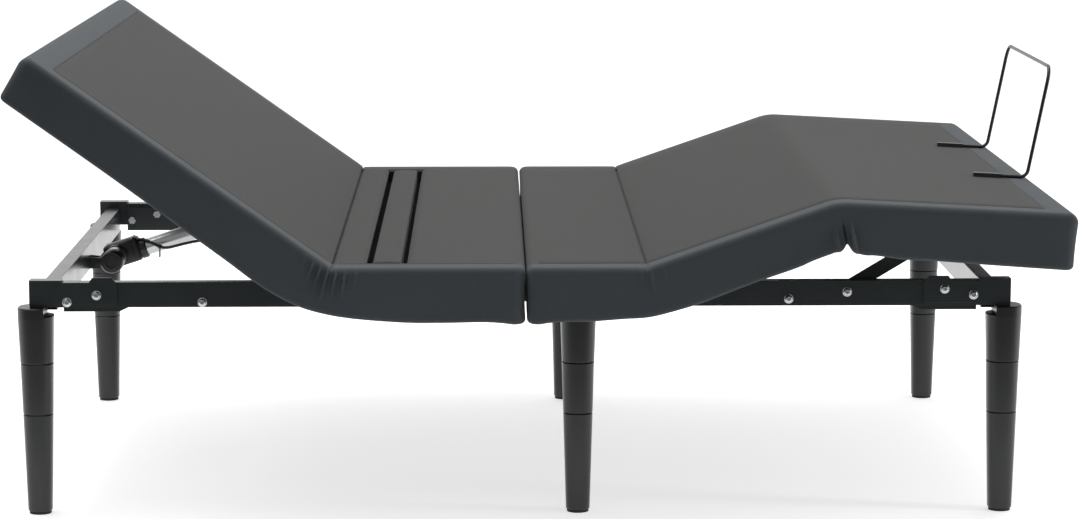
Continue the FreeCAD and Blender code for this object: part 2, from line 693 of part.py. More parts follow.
corners = []
gussets = []
for end, way in (("-head_rail_end", 1), ("foot_rail_end", -1)):
    for hand in (-1, 1):
        index = (hand + 1) // 2
        low_y = both_hands(RAIL_OUTER, "plate_thick")[index]
        side_plate = prism("corner", corner_outline(end, way), f"{low_y} + plate_thick", "plate_thick")
        lip_y = both_hands(RAIL_INNER, "rail_width + plate_thick")[index]
        lip_x = end if way > 0 else f"{end} - lip_length"
        lip = box("corner_lip", (lip_x, lip_y, RAIL_TOP),
                  ("lip_length", "rail_width + plate_thick", "plate_thick"))
        corners.append(cut("corner", weld("corner", [side_plate, lip]), [bolt_holes("corner_holes", hand)]))
        gusset_y = both_hands(f"{RAIL_INNER} - plate_thick", "plate_thick")[index]
        near, far, tip = (f"{end} + {way} * ({reach})" for reach in (
            "gusset_start", "gusset_start + gusset_length", "gusset_start + gusset_length + gusset_taper"))
        top = f"{RAIL_TOP} - plate_inset - 3"
        gusset = [(near, "rail_bottom - gusset_drop"), (far, "rail_bottom - gusset_drop"),
                  (tip, "rail_bottom + 2"), (tip, top), (near, top)]
        plate = prism("gusset", gusset, f"{gusset_y} + plate_thick", "plate_thick")
        gussets.append(cut("gusset", plate, [bolt_holes("gusset_holes", hand)]))
finish("corner_brackets", group("corner_brackets", corners), "base")
finish("rail_gussets", group("rail_gussets", gussets), "base")

bolts = []
for across, up, face in BOLTS:
    for hand in (-1, 1):
        level = f"rail_bottom + {up}"
        inner = f"{RAIL_INNER} - plate_thick - 1"
        head_y = both_hands(face, "bolt_head_height")[(hand + 1) // 2]
        shank_y = both_hands(inner, f"{face} - ({inner})")[(hand + 1) // 2]
        head = rod("bolt", (across, head_y, level), "bolt_head_radius", "bolt_head_height")
        shank = rod("bolt", (across, shank_y, level), "bolt_radius", f"{face} - ({inner})")
        bolts.append(weld("bolt", [head, shank]))
finish("frame_bolts", group("frame_bolts", bolts), "base")

bearers = []
for middle in ("-slat_x - slat_width / 2 - slot_width - bearer_width / 2", "-slat_x", "-bearer_x",
               "bearer_x", "thigh_pivot_x - bearer_width / 2 - bearer_inset"):
    bearers.append(box("bearer", (f"{middle} - bearer_width / 2", f"-({RAIL_OUTER})", RAIL_TOP),
                       ("bearer_width", f"2 * ({RAIL_OUTER})",
                        f"deck_top - pad_thick - board_thick - ({RAIL_TOP})")))
finish("seat_bearers", group("seat_bearers", bearers), "base")

# ---- legs ------------------------------------------------------------------------------------

SLOPE = "(leg_top_radius - leg_foot_radius) / (rail_bottom - glide_height)"


def leg_radius(height):
    return f"leg_foot_radius + ({height} - glide_height) * {SLOPE}"


SEGMENTS = {
    "lower_leg_segments": ("glide_height", "leg_low_seam"),
    "middle_leg_segments": ("leg_low_seam + seam_gap", "leg_high_seam"),
    "upper_leg_segments": ("leg_high_seam + seam_gap", "rail_bottom"),
}
STUD_LOW = "rail_bottom - stud_depth"
for label, (low, high) in SEGMENTS.items():
    members = []
    for across in LEG_PLACES:
        for hand in (-1, 1):
            piece = cone(label, (across, f"{hand} * rail_y", low), leg_radius(low), leg_radius(high),
                         f"{high} - ({low})")
            if label.startswith("upper"):
                start = "notch_reach" if number(across) < 0 else "-notch_reach - leg_top_radius"
                notch_x = f"{across} + {start}"
                notch = box("notch",
                            (notch_x, f"{hand} * rail_y - leg_top_radius", "rail_bottom - leg_notch"),
                            ("leg_top_radius", "2 * leg_top_radius", "leg_notch + 1"))
                hole = rod("stud_hole", (across, f"{hand} * rail_y", STUD_LOW), "stud_radius + 0.1",
                           "stud_length", axis="z")
                piece = cut(label, piece, [notch, hole])
            members.append(piece)
    finish(label, group(label, members), "base")

glides = []
studs = []
for across in LEG_PLACES:
    for hand in (-1, 1):
        glides.append(rod("glide", (across, f"{hand} * rail_y", "0"), "leg_foot_radius - 2",
                          "glide_height", axis="z"))
        studs.append(rod("stud", (across, f"{hand} * rail_y", STUD_LOW), "stud_radius", "stud_length",
                         axis="z"))
finish("leg_glides", group("leg_glides", glides), "base")
finish("leg_studs", group("leg_studs", studs), "base")

# ---- lift mechanisms -------------------------------------------------------------------------

def lift_tube(label, frame):
    finish(label, rod(label, ("0", f"1 - ({RAIL_INNER})", "0"), "tube_radius",
                      f"2 * ({RAIL_INNER}) - 2"), frame)


def lift_arms(label, frame, way, reach):
    """Two arms with roller pins; way is -1 when they reach towards the head end."""
    members = []
    for hand in (-1, 1):
        low_y = both_hands("arm_y", "arm_thick")[(hand + 1) // 2]
        start = "0" if way > 0 else f"-({reach})"
        bar = box(label, (start, low_y, "-arm_height / 2"), (reach, "arm_thick", "arm_height"))
        hub = rod(label, ("0", low_y, "0"), "tube_radius + hub_wall", "arm_thick")
        tip = rod(label, (f"{way} * ({reach})", low_y, "0"), "arm_height / 2", "arm_thick")
        pin_y = both_hands("arm_y + arm_thick - 1", "roller_width + 4")[(hand + 1) // 2]
        pin = rod(label, (f"{way} * ({reach})", pin_y, "0"), "roller_bore", "roller_width + 4")
        bore = rod(label, ("0", f"{low_y} - 1", "0"), "tube_radius + 0.05", "arm_thick + 2")
        members.append(cut(label, weld(label, [bar, hub, tip, pin]), [bore]))
    finish(label, group(label, members), frame)


def rollers(label, frame):
    members = []
    for hand in (-1, 1):
        low_y = both_hands("arm_y + arm_thick + 1", "roller_width")[(hand + 1) // 2]
        wheel = rod(label, ("0", low_y, "0"), "roller_radius", "roller_width")
        bore = rod(label, ("0", f"{low_y} - 1", "0"), "roller_bore + 0.05", "roller_width + 2")
        members.append(cut(label, wheel, [bore]))
    finish(label, group(label, members), frame)


def slotted_lever(label, frame, angle, near, far, play):
    """Two plates beside the actuator's eye, each with a slot for its pin along the plate."""
    members = []
    for hand in (-1, 1):
        low_y = both_hands("lever_y", "arm_thick")[(hand + 1) // 2]
        half = f"(pin_radius + {play})"
        plate = box(label, ("0", low_y, f"-{half} - slot_wall"),
                    (f"{far} + {half} + slot_wall", "arm_thick", f"2 * ({half} + slot_wall)"))
        hub = rod(label, ("0", low_y, "0"), "tube_radius + hub_wall", "arm_thick")
        slot = box(label, (near, f"{low_y} - 1", f"-{half}"),
                   (f"{far} - {near}", "arm_thick + 2", f"2 * {half}"))
        ends = [rod(label, (place, f"{low_y} - 1", "0"), half, "arm_thick + 2") for place in (near, far)]
        bore = rod(label, ("0", f"{low_y} - 1", "0"), "tube_radius + 0.05", "arm_thick + 2")
        members.append(cut(label, weld(label, [plate, hub]), [weld(label, [slot] + ends), bore]))
    lever = group(label, members)
    lever.Placement = FreeCAD.Placement(VECTOR(), FreeCAD.Rotation(Y_AXIS, -angle))
    finish(label, lever, frame)


lift_tube("head_lift_tube", "head_lift")
lift_arms("head_lift_arms", "head_lift", -1, "head_arm")
slotted_lever("head_lift_lever", "head_lift", 180, "head_slot_near", "head_slot_far", "head_slot_play")
rollers("head_lift_rollers", "head_roller")
lift_tube("leg_lift_tube", "leg_lift")
lift_arms("leg_lift_arms", "leg_lift", 1, "leg_arm")
slotted_lever("leg_lift_lever", "leg_lift", -number("leg_lever_angle"), "leg_slot_near", "leg_slot_far",
              "leg_slot_play")
rollers("leg_lift_rollers", "leg_roller")

bearings = []
for across in ("-head_pivot_x", "thigh_pivot_x + leg_tube_offset"):
    for hand in (-1, 1):
        low_y = both_hands(f"{RAIL_INNER} - bearing_width", "bearing_width")[(hand + 1) // 2]
        level = f"{AXIS_LEVEL} - tube_drop"
        block = box("bearing", (f"{across} - tube_radius - bearing_wall", low_y,
                                f"{level} - tube_radius - bearing_wall"),
                    ("2 * (tube_radius + bearing_wall)", "bearing_width",
                     "2 * tube_radius + bearing_wall + 3"))
        bore = rod("bearing", (across, f"{low_y} - 1", level), "tube_radius + tube_play", "bearing_width + 2")
        bearings.append(cut("bearing", block, [bore]))
finish("lift_tube_bearings", group("lift_tube_bearings", bearings), "base")

# ---- actuators -------------------------------------------------------------------------------


def actuator(prefix, frame, tube_length, reach, rod_start):
    """A linear actuator along +X from its rear pin; its rod starts inside the tube."""
    eye = rod(prefix, ("0", "-eye_width / 2", "0"), "pin_radius + eye_wall", "eye_width")
    neck = box(prefix, ("0", "-eye_width / 2", "-pin_radius - eye_wall"),
               ("gear_start + 2", "eye_width", "2 * (pin_radius + eye_wall)"))
    gears = box(prefix, ("gear_start", "-gear_width / 2", "-gear_height * 0.42"),
                ("gear_length", "gear_width", "gear_height"))
    barrel = rod(prefix, ("gear_start + gear_length - 1", "0", "0"), "housing_radius",
                 f"{tube_length} - gear_length - gear_start + 1", axis="x")
    hollow = rod(prefix, ("gear_start + gear_length + 2", "0", "0"), "rod_radius + 0.1", tube_length,
                 axis="x")
    pin_bore = rod(prefix, ("0", "-eye_width", "0"), "pin_radius + 0.05", "2 * eye_width")
    finish(f"{prefix}_actuator_housing", cut(prefix, weld(prefix, [eye, neck, gears, barrel]),
                                             [hollow, pin_bore]), frame)
    motor = rod(prefix, ("gear_start + motor_radius", "-gear_width / 2 - motor_length",
                         "gear_height * 0.08"), "motor_radius", "motor_length")
    finish(f"{prefix}_actuator_motor", motor, frame)
    shaft = rod(prefix, (rod_start, "0", "0"), "rod_radius", f"{reach} - {rod_start} - 8", axis="x")
    front_eye = rod(prefix, (reach, "-front_eye_width / 2", "0"), "rod_radius + 1", "front_eye_width")
    front_pin = rod(prefix, (reach, "-lever_y - arm_thick - 3", "0"), "pin_radius",
                    "2 * (lever_y + arm_thick + 3)")
    finish(f"{prefix}_actuator_rod", weld(prefix, [shaft, front_eye, front_pin]), frame + "_rod")


FRAMES["head_actuator_rod"] = FRAMES["head_actuator"]
FRAMES["leg_actuator_rod"] = FRAMES["leg_actuator"]
actuator("head", "head_actuator", "head_tube_length", HEAD_REACH, "head_rod_start")
actuator("leg", "leg_actuator", "leg_tube_length", LEG_REACH, "leg_rod_start")


def clevis(name, ear, pin_x, pin_z):
    """Two ears of the outline given and a pin, which hold the rear of an actuator."""
    ears = []
    for hand in (-1, 1):
        low_y = both_hands("clevis_y", "plate_thick")[(hand + 1) // 2]
        ears.append(prism(name, ear, f"{low_y} + plate_thick", "plate_thick"))
    return weld(name, ears + [rod(name, (pin_x, "-clevis_pin / 2", pin_z), "pin_radius", "clevis_pin")])


WALL_X = "cross_width / 2 - head_cross_x"
HEAD_PIN_X = f"{WALL_X} + mount_reach"
head_clevis = clevis("head_clevis",
                     [(WALL_X, "head_mount_z - clevis_ear - 1"),
                      (f"{HEAD_PIN_X} + clevis_ear", "head_mount_z - clevis_ear"),
                      (f"{HEAD_PIN_X} + clevis_ear", "head_mount_z + clevis_ear"),
                      (WALL_X, "head_mount_z + clevis_ear + 3")], HEAD_PIN_X, "head_mount_z")
leg_clevis = clevis("leg_clevis",
                    [("leg_mount_x - clevis_ear - 1", "leg_mount_z - clevis_ear - 1"),
                     ("leg_mount_x + clevis_ear - 1", "leg_mount_z - clevis_ear - 1"),
                     ("leg_mount_x + clevis_ear - 1", "leg_mount_z + gear_height * 0.58 + 6"),
                     ("middle_cross_x + middle_cross_width", "rail_bottom + 3"),
                     ("middle_cross_x", "rail_bottom + 3")], "leg_mount_x", "leg_mount_z")
finish("actuator_clevises", group("actuator_clevises", [head_clevis, leg_clevis]), "base")

# ---- foot links ------------------------------------------------------------------------------

LINK_Y = f"{RAIL_INNER} - plate_thick - link_side_play - link_thick"
links = []
for hand in (-1, 1):
    low_y = both_hands(LINK_Y, "link_thick")[(hand + 1) // 2]
    bar = box("link", ("0", low_y, "-link_width / 2"), (LINK_LENGTH, "link_thick", "link_width"))
    ends = [rod("link", (place, low_y, "0"), "link_width / 2", "link_thick")
            for place in ("0", LINK_LENGTH)]
    pin_y = both_hands(f"{LINK_Y} + 1 - link_pin_length", "link_pin_length")[(hand + 1) // 2]
    pin = rod("link", (LINK_LENGTH, pin_y, "0"), "link_pin_radius", "link_pin_length")
    bore = rod("link", ("0", f"{low_y} - 1", "0"), "bolt_radius + 0.05", "link_thick + 2")
    links.append(cut("link", weld("link", [bar] + ends + [pin]), [bore]))
finish("foot_links", group("foot_links", links), "link")


def link_path():
    """Where the links' upper pins run in the foot section's frame, from flat to the highest thigh."""
    places = []
    ratio = (LINK_SLANT - LINK_FLAT) / THIGH_REST
    for step in range(21):
        thigh = number("thigh_highest") * step / 20
        knee = beyond(THIGH_PIVOT, number("thigh_length"), thigh)
        pin = beyond(LINK_PIVOT, LINK_LENGTH, LINK_FLAT + ratio * thigh)
        reach, angle = between(knee, pin)
        foot_angle = thigh - KNEE_RATIO * thigh
        places.append(beyond((0, 0), reach, angle - foot_angle))
    return places


ROOM = number("link_pin_radius + window_play")
LINK_PATH = link_path()
low_x = min(place[0] for place in LINK_PATH) - ROOM
high_x = max(place[0] for place in LINK_PATH) + ROOM
low_z = min(place[1] for place in LINK_PATH) - ROOM
high_z = max(place[1] for place in LINK_PATH) + ROOM
brackets = []
for hand in (-1, 1):
    low_y = both_hands(f"{LINK_Y} - link_bracket_gap - plate_thick", "plate_thick")[(hand + 1) // 2]
    plate = prism("link_bracket",
                  [(f"{low_x} - 2.75 * window_wall", "pivot_drop"),
                   (f"{low_x} - window_wall", f"{low_z} - window_wall"),
                   (f"{high_x} + window_wall", f"{low_z} - window_wall"),
                   (f"{high_x} + 2.75 * window_wall", "pivot_drop")],
                  f"{low_y} + plate_thick", "plate_thick")
    window = box("link_window", (low_x, f"{low_y} - 1", low_z),
                 (high_x - low_x, "plate_thick + 2", high_z - low_z))
    brackets.append(cut("link_bracket", plate, [window]))
finish("foot_link_brackets", group("foot_link_brackets", brackets), "foot")

# ---- retainer bar ----------------------------------------------------------------------------


def retainer_path():
    """The bent wire's centre line, in the foot section's frame."""
    radius = number("bar_radius")
    top_bend = number("bar_bend") + radius
    low_bend = number("bar_low_bend") + radius
    level = number(PAD_TOP) + radius
    lean = math.radians(number("bar_lean"))
    half = number("bar_half_width")
    foot_end = number("foot_length - bar_inset")
    points = []
    for hand in (-1, 1):
        points.append([VECTOR(foot_end - number("bar_foot"), hand * half, level),
                       VECTOR(foot_end, hand * half, level),
                       VECTOR(foot_end + number("bar_height") * math.tan(lean), hand * half,
                              level + number("bar_height"))])
    corners = points[0] + points[1][::-1]
    bends = [low_bend, top_bend, top_bend, low_bend]
    edges = []
    start = corners[0]
    for index, bend in enumerate(bends, start=1):
        here = corners[index]
        before = (corners[index - 1] - here).normalize()
        after = (corners[index + 1] - here).normalize()
        half_turn = (math.pi - before.getAngle(after)) / 2
        trim = bend * math.tan(half_turn)
        middle = here + (before + after).normalize() * (bend / math.cos(half_turn) - bend)
        edges.append(Part.LineSegment(start, here + before * trim).toShape())
        edges.append(Part.Arc(here + before * trim, middle, here + after * trim).toShape())
        start = here + after * trim
    edges.append(Part.LineSegment(start, corners[-1]).toShape())
    return Part.Wire(edges), corners[0]


def swept(name, path, start, direction, radius):
    """A round bar along a path."""
    circle = Part.Wire([Part.Circle(start, direction, radius).toShape()])
    feature = doc.addObject("Part::Feature", unused(name))
    feature.Shape = path.makePipeShell([circle], True, True)
    return feature


bar_path, bar_start = retainer_path()
finish("retainer_bar", swept("retainer_bar", bar_path, bar_start, VECTOR(1, 0, 0), number("bar_radius")),
       "foot")
sockets = []
for hand in (-1, 1):
    start_x = "foot_length - bar_inset - bar_foot"
    low_y = f"{hand} * bar_half_width - socket_width / 2"
    block = box("socket", (f"{start_x} - socket_start", low_y, PAD_TOP),
                ("socket_length", "socket_width", "socket_height"))
    bore = rod("socket", (start_x, f"{hand} * bar_half_width", f"{PAD_TOP} + bar_radius"),
               "bar_radius + 0.05", "socket_length", axis="x")
    sockets.append(cut("socket", block, [bore]))
finish("retainer_sockets", group("retainer_sockets", sockets), "foot")

# ---- control box and cable -------------------------------------------------------------------

BOX_X = "-box_x - box_length"
finish("control_box", box("control_box", (BOX_X, "box_y", f"{RAIL_TOP} - box_height"),
                          ("box_length", "box_width", "box_height")), "base")


# The cable's line: it leaves the head actuator's gear housing, passes over the head lift tube and
# ends in the control box.
CABLE_ROUTE = [(-779, -8, 440), (-763, -14, 440), (-744, -28, 432), (-722, -38, 425), (-690, -40, 434),
               (-650, -42, 443), (-600, -52, 446), (-530, -62, 443), (-455, -62, 446), (-385, -50, 447),
               (-335, -20, 433), (-305, 38, 426), (-272, 92, 421), (-225, 92, 421)]


def rounded(points):
    """Straight runs joined by tangent arcs, each as large as its two runs allow."""
    edges = []
    start = points[0]
    for index in range(1, len(points) - 1):
        here = points[index]
        back = points[index - 1] - here
        ahead = points[index + 1] - here
        shorter = min(back.Length, ahead.Length)
        back.normalize()
        ahead.normalize()
        half_turn = (math.pi - back.getAngle(ahead)) / 2
        trim = 0.45 * shorter
        radius = trim / math.tan(half_turn)
        middle = here + (back + ahead).normalize() * (radius / math.cos(half_turn) - radius)
        edges.append(Part.LineSegment(start, here + back * trim).toShape())
        edges.append(Part.Arc(here + back * trim, middle, here + ahead * trim).toShape())
        print(f"cable arc {index}: radius {radius:.0f}, turn {2 * math.degrees(half_turn):.0f}")
        start = here + ahead * trim
    edges.append(Part.LineSegment(start, points[-1]).toShape())
    return Part.Wire(edges)


cable_points = [VECTOR(*place) for place in CABLE_ROUTE]
cable_path = rounded(cable_points)
cable = swept("actuator_cable", cable_path, cable_points[0], cable_points[1] - cable_points[0],
              number("cable_radius"))
finish("actuator_cable", cable, "base")
print(f"cable length {cable_path.Length:.0f}, volume ratio "
      f"{cable.Shape.Volume / (cable_path.Length * math.pi * number('cable_radius') ** 2):.3f}")
tie_middle = (cable_points[2] + cable_points[3]) * 0.5
tie_way = FreeCAD.Rotation(VECTOR(0, 0, 1), cable_points[3] - cable_points[2])
ring = cut("tie", rod("tie", ("0", "0", "-tie_width / 2"), "cable_radius + tie_wall", "tie_width", axis="z"),
           [rod("tie", ("0", "0", "-tie_width"), "cable_radius + 0.05", "2 * tie_width", axis="z")])
tail = box("tie_tail", ("cable_radius + 1", "-tie_width * 0.4", "-1"), ("tie_tail", "tie_width * 0.8", "1.6"))
tie = weld("tie", [ring, tail])
tie.Placement = FreeCAD.Placement(tie_middle, tie_way)
finish("cable_tie", tie, "base")

# ---- place, check and write ------------------------------------------------------------------

doc.recompute()
for shape, frame in PIECES.values():
    shape.Placement = FRAMES[frame] * shape.Placement
doc.recompute()
whole = FreeCAD.BoundBox()
for shape, frame in PIECES.values():
    whole.add(shape.Shape.BoundBox)
shift = VECTOR(-whole.Center.x, -whole.Center.y, -whole.ZMin)
for shape, frame in PIECES.values():
    placed = shape.Placement
    placed.Base = placed.Base + shift
    shape.Placement = placed
doc.recompute()

for thing in doc.Objects:
    if "Invalid" in thing.State or "Error" in thing.State:
        raise RuntimeError(f"{thing.Name} ({thing.Label}) failed to build: {thing.State}")
for label, (shape, frame) in PIECES.items():
    if shape.Shape.isNull() or not shape.Shape.isValid() or shape.Shape.Volume <= 0:
        raise RuntimeError(f"{label} has no valid shape")

os.makedirs("parts", exist_ok=True)
for label, (shape, frame) in PIECES.items():
    shape.Shape.exportStep(os.path.join("parts", label + ".step"))

size = (whole.XLength, whole.YLength, whole.ZLength)
print("sub-parts", len(PIECES), "size", [round(length, 1) for length in size])
print("shift", [round(length, 3) for length in shift])
for name, placement in FRAMES.items():
    print("frame", name, [round(length + move, 3) for length, move in zip(placement.Base, shift)])
print(f"head lift ratio {HEAD_LIFT_RATIO:.5f}, leg lift ratio {LEG_LIFT_RATIO:.5f}, "
      f"knee ratio {KNEE_RATIO:.5f}, link ratio {(LINK_SLANT - LINK_FLAT) / THIGH_REST:.5f}")
print(f"head arm {HEAD_ARM_REST:.3f}, head actuator {HEAD_REACH:.2f} at {HEAD_SLANT:.3f}; "
      f"leg arm {LEG_ARM_REST:.3f}, leg actuator {LEG_REACH:.2f} at {LEG_SLANT:.3f}")
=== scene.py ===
# %% [markdown]
# # Adjustable bed base
# A queen-size base with a raised head section, a bent thigh and foot section, six tapered legs and
# a black steel frame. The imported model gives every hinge, rail and bolt its place, so this script
# only dresses it: sewn covers, moulded legs, plated bolts, powder-coated steel and light.

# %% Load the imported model
import json
import math

import bmesh
import bpy
import numpy as np
from mathutils import Matrix, Vector


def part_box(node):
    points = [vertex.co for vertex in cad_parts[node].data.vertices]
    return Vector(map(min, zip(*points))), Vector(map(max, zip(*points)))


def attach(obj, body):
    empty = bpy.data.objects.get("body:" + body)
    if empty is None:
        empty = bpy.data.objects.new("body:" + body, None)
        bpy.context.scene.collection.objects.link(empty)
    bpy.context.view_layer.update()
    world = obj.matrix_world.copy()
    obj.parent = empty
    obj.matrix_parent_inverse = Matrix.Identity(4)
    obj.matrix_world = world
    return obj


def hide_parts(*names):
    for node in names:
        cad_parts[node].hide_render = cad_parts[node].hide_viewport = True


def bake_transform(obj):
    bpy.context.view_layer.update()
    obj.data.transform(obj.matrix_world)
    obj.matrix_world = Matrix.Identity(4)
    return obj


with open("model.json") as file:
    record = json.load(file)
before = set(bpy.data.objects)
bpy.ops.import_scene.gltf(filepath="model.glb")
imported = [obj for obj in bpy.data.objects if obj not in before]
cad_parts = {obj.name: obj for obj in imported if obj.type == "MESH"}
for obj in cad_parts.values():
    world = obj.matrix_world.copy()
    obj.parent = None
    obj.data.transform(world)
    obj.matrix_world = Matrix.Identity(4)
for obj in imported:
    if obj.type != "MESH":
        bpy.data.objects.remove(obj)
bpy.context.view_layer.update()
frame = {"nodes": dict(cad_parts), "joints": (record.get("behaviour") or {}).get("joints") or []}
JOINTS = {joint["name"]: joint for joint in frame["joints"]}
NODES = frame["nodes"]
MM = 0.001


def pivot(name):
    """A joint's axis in the side view, as (x, z)."""
    x, _, z = JOINTS[name]["pos_m"]
    return np.array([x, z])


HEAD_HINGE = pivot("head_tilt")
THIGH_HINGE = pivot("thigh_tilt")
KNEE = pivot("knee_fold")
HEAD_ANGLE = math.radians(-JOINTS["head_tilt"]["range_deg"][0])
THIGH_ANGLE = math.radians(-JOINTS["thigh_tilt"]["range_deg"][0])
FOOT_SLOPE = math.radians(-JOINTS["knee_fold"]["range_deg"][0]) - THIGH_ANGLE
HALF_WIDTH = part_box("head_pad")[1].y
DECK_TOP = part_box("head_seat_pad")[1].z
GAP_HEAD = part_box("head_seat_pad")[1].x
GAP_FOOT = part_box("foot_seat_pad")[0].x
GAP = (GAP_HEAD + GAP_FOOT) / 2
print("hinges", HEAD_HINGE, THIGH_HINGE, KNEE, "angles",
      [round(math.degrees(angle), 1) for angle in (HEAD_ANGLE, THIGH_ANGLE, FOOT_SLOPE)])

# %% [markdown]
# ## Camera
# The base is seen almost square to its long side, from a little above, with a long lens. A long
# lens keeps the six legs nearly parallel, which is how furniture is usually shown.

# %% Camera
LENS_MM = 107.2
camera_data = bpy.data.cameras.new("camera")
camera_data.lens = LENS_MM
bpy.context.scene.view_settings.view_transform = "Standard"
camera = bpy.data.objects.new("camera", camera_data)
camera.location = (GAP - 0.0661, -6.4815, 1.3796)
camera.rotation_euler = [math.radians(angle) for angle in (81.366, 0, -0.908)]
bpy.context.scene.collection.objects.link(camera)
bpy.context.scene.camera = camera

# %% [markdown]
# ## Helpers for meshes and materials
# One function turns lists of points and faces into an object, and one gives the faces of a loft,
# which is a row of equal rings. One turns a hex colour into the linear values that a shader wants,
# and one adds a node with its settings and links. Two more are wanted by every finish: a new
# material, and two colours mixed by a pattern. Colours keep their plain values on screen, because
# the view transform is set to Standard beside the camera.

# %% Helpers


def piece_from(name, points, faces, material=None, cloth=None):
    """A mesh object; cloth gives each point its place on the flat cloth, for the weave."""
    mesh = bpy.data.meshes.new(name)
    mesh.from_pydata([tuple(point) for point in points], [], faces)
    if cloth is not None:
        layer = mesh.uv_layers.new(name="cloth")
        for loop in mesh.loops:
            layer.data[loop.index].uv = cloth[loop.vertex_index]
    tidy = bmesh.new()
    tidy.from_mesh(mesh)
    bmesh.ops.remove_doubles(tidy, verts=tidy.verts, dist=0.00002)
    bmesh.ops.dissolve_degenerate(tidy, edges=tidy.edges, dist=0.00001)
    bmesh.ops.recalc_face_normals(tidy, faces=tidy.faces)
    tidy.to_mesh(mesh)
    tidy.free()
    for polygon in mesh.polygons:
        polygon.use_smooth = True
    mesh.set_sharp_from_angle(angle=math.radians(50))
    if material:
        mesh.materials.append(material)
    made = bpy.data.objects.new(name, mesh)
    bpy.context.scene.collection.objects.link(made)
    return made


def loft_faces(rings, sides):
    """Faces that join rings of points one after the other, and close the first and the last."""
    faces = [[ring * sides + step, ring * sides + (step + 1) % sides,
              (ring + 1) * sides + (step + 1) % sides, (ring + 1) * sides + step]
             for ring in range(rings - 1) for step in range(sides)]
    return faces + [list(range(sides))[::-1], list(range((rings - 1) * sides, rings * sides))]


def linear(hex_colour):
    """An sRGB hex colour as linear RGBA."""
    channels = [int(hex_colour[i:i + 2], 16) / 255 for i in (1, 3, 5)]
    return [c / 12.92 if c <= 0.04045 else ((c + 0.055) / 1.055) ** 2.4 for c in channels] + [1.0]


def add_node(tree, kind, settings=None, **links):
    """A node with its settings; links name an input socket and give an output or a value."""
    made = tree.nodes.new(kind)
    for key, value in (settings or {}).items():
        setattr(made, key, value)
    for key, value in links.items():
        numbered = key[0] == "i" and key[1:].isdigit()
        socket = made.inputs[int(key[1:]) if numbered else key.replace("_", " ")]
        if isinstance(value, bpy.types.NodeSocket):
            tree.links.new(value, socket)
        else:
            socket.default_value = value
    return made


def new_material(name, roughness, metallic=0.0, ior=1.5, **fixed):
    """A material with its shader's constants set on the shader itself."""
    material = bpy.data.materials.new(name)
    material.use_nodes = True
    shader = material.node_tree.nodes["Principled BSDF"]
    shader.inputs["Roughness"].default_value = roughness
    shader.inputs["Metallic"].default_value = metallic
    if not metallic:
        shader.inputs["IOR"].default_value = ior
    for key, value in fixed.items():
        shader.inputs[key.replace("_", " ")].default_value = value
    return material, material.node_tree, shader


def mixed_colour(tree, factor, low, high):
    """Two hex colours mixed by a factor."""
    ramp = add_node(tree, "ShaderNodeValToRGB", Fac=factor)
    ramp.color_ramp.elements[0].color = linear(low)
    ramp.color_ramp.elements[1].color = linear(high)
    return ramp


# %% [markdown]
# ## Woven fabrics
# The covers are plain-weave polyester: a warm dark grey top panel, and a cooler slate border that
# turns over the edge and down the sides. A weave scatters light softly, so the fabrics are rough,
# with a little sheen at grazing angles. The real threads are about 0.5 mm apart, too fine to show
# from here, so they are drawn 1.5 mm apart. The pattern runs on each piece's flat-cloth
# coordinates, so it bends with the cloth at the hinges.

# %% Woven fabrics


def woven_fabric(name, thread_hex, gap_hex, mottled, thread_mm, sheen):
    """A plain weave in two tones, a little cloudy, with slubs and soft slack in the cloth."""
    material, tree, shader = new_material(name, 0.9, ior=1.5, Sheen_Weight=sheen, Sheen_Roughness=0.5)
    cloth = add_node(tree, "ShaderNodeUVMap", {"uv_map": "cloth"})
    waves = []
    for direction in ("X", "Y"):
        # a wave texture repeats every 2 pi / (20 * scale) of its coordinate
        wave = add_node(tree, "ShaderNodeTexWave", {"bands_direction": direction}, Vector=cloth.outputs[0],
                        Scale=math.pi / (10 * thread_mm * MM), Distortion=0.6, Detail=1.0)
        waves.append(wave.outputs["Fac"])
    weave = add_node(tree, "ShaderNodeMath", {"operation": "MULTIPLY"}, i0=waves[0], i1=waves[1])
    cloudy = add_node(tree, "ShaderNodeTexNoise", Vector=cloth.outputs[0], Scale=9.0, Detail=4.0)
    slub = add_node(tree, "ShaderNodeTexNoise", Vector=cloth.outputs[0], Scale=260.0, Detail=3.0)
    cross = mixed_colour(tree, weave.outputs[0], gap_hex, thread_hex)
    tone = add_node(tree, "ShaderNodeMix", {"data_type": "RGBA", "blend_type": "SOFT_LIGHT"})
    tone.inputs["Factor"].default_value = mottled
    tree.links.new(cross.outputs[0], tone.inputs[6])
    both = add_node(tree, "ShaderNodeMath", {"operation": "ADD", "use_clamp": True},
                    i0=cloudy.outputs["Fac"], i1=slub.outputs["Fac"])
    half = add_node(tree, "ShaderNodeMath", {"operation": "MULTIPLY"}, i0=both.outputs[0], i1=0.6)
    tree.links.new(half.outputs[0], tone.inputs[7])
    tree.links.new(tone.outputs[2], shader.inputs["Base Color"])
    threads = add_node(tree, "ShaderNodeBump", Strength=0.35, Distance=0.0003, Height=weave.outputs[0])
    slack = add_node(tree, "ShaderNodeBump", Strength=0.12, Distance=0.002, Height=cloudy.outputs["Fac"],
                     Normal=threads.outputs[0])
    tree.links.new(slack.outputs[0], shader.inputs["Normal"])
    return material


PANEL_FABRIC = woven_fabric("woven_polyester_grey", "#343433", "#262625", 0.35, 1.5, 0.05)
BORDER_FABRIC = woven_fabric("woven_polyester_slate", "#474D50", "#353A3D", 0.35, 1.5, 0.05)

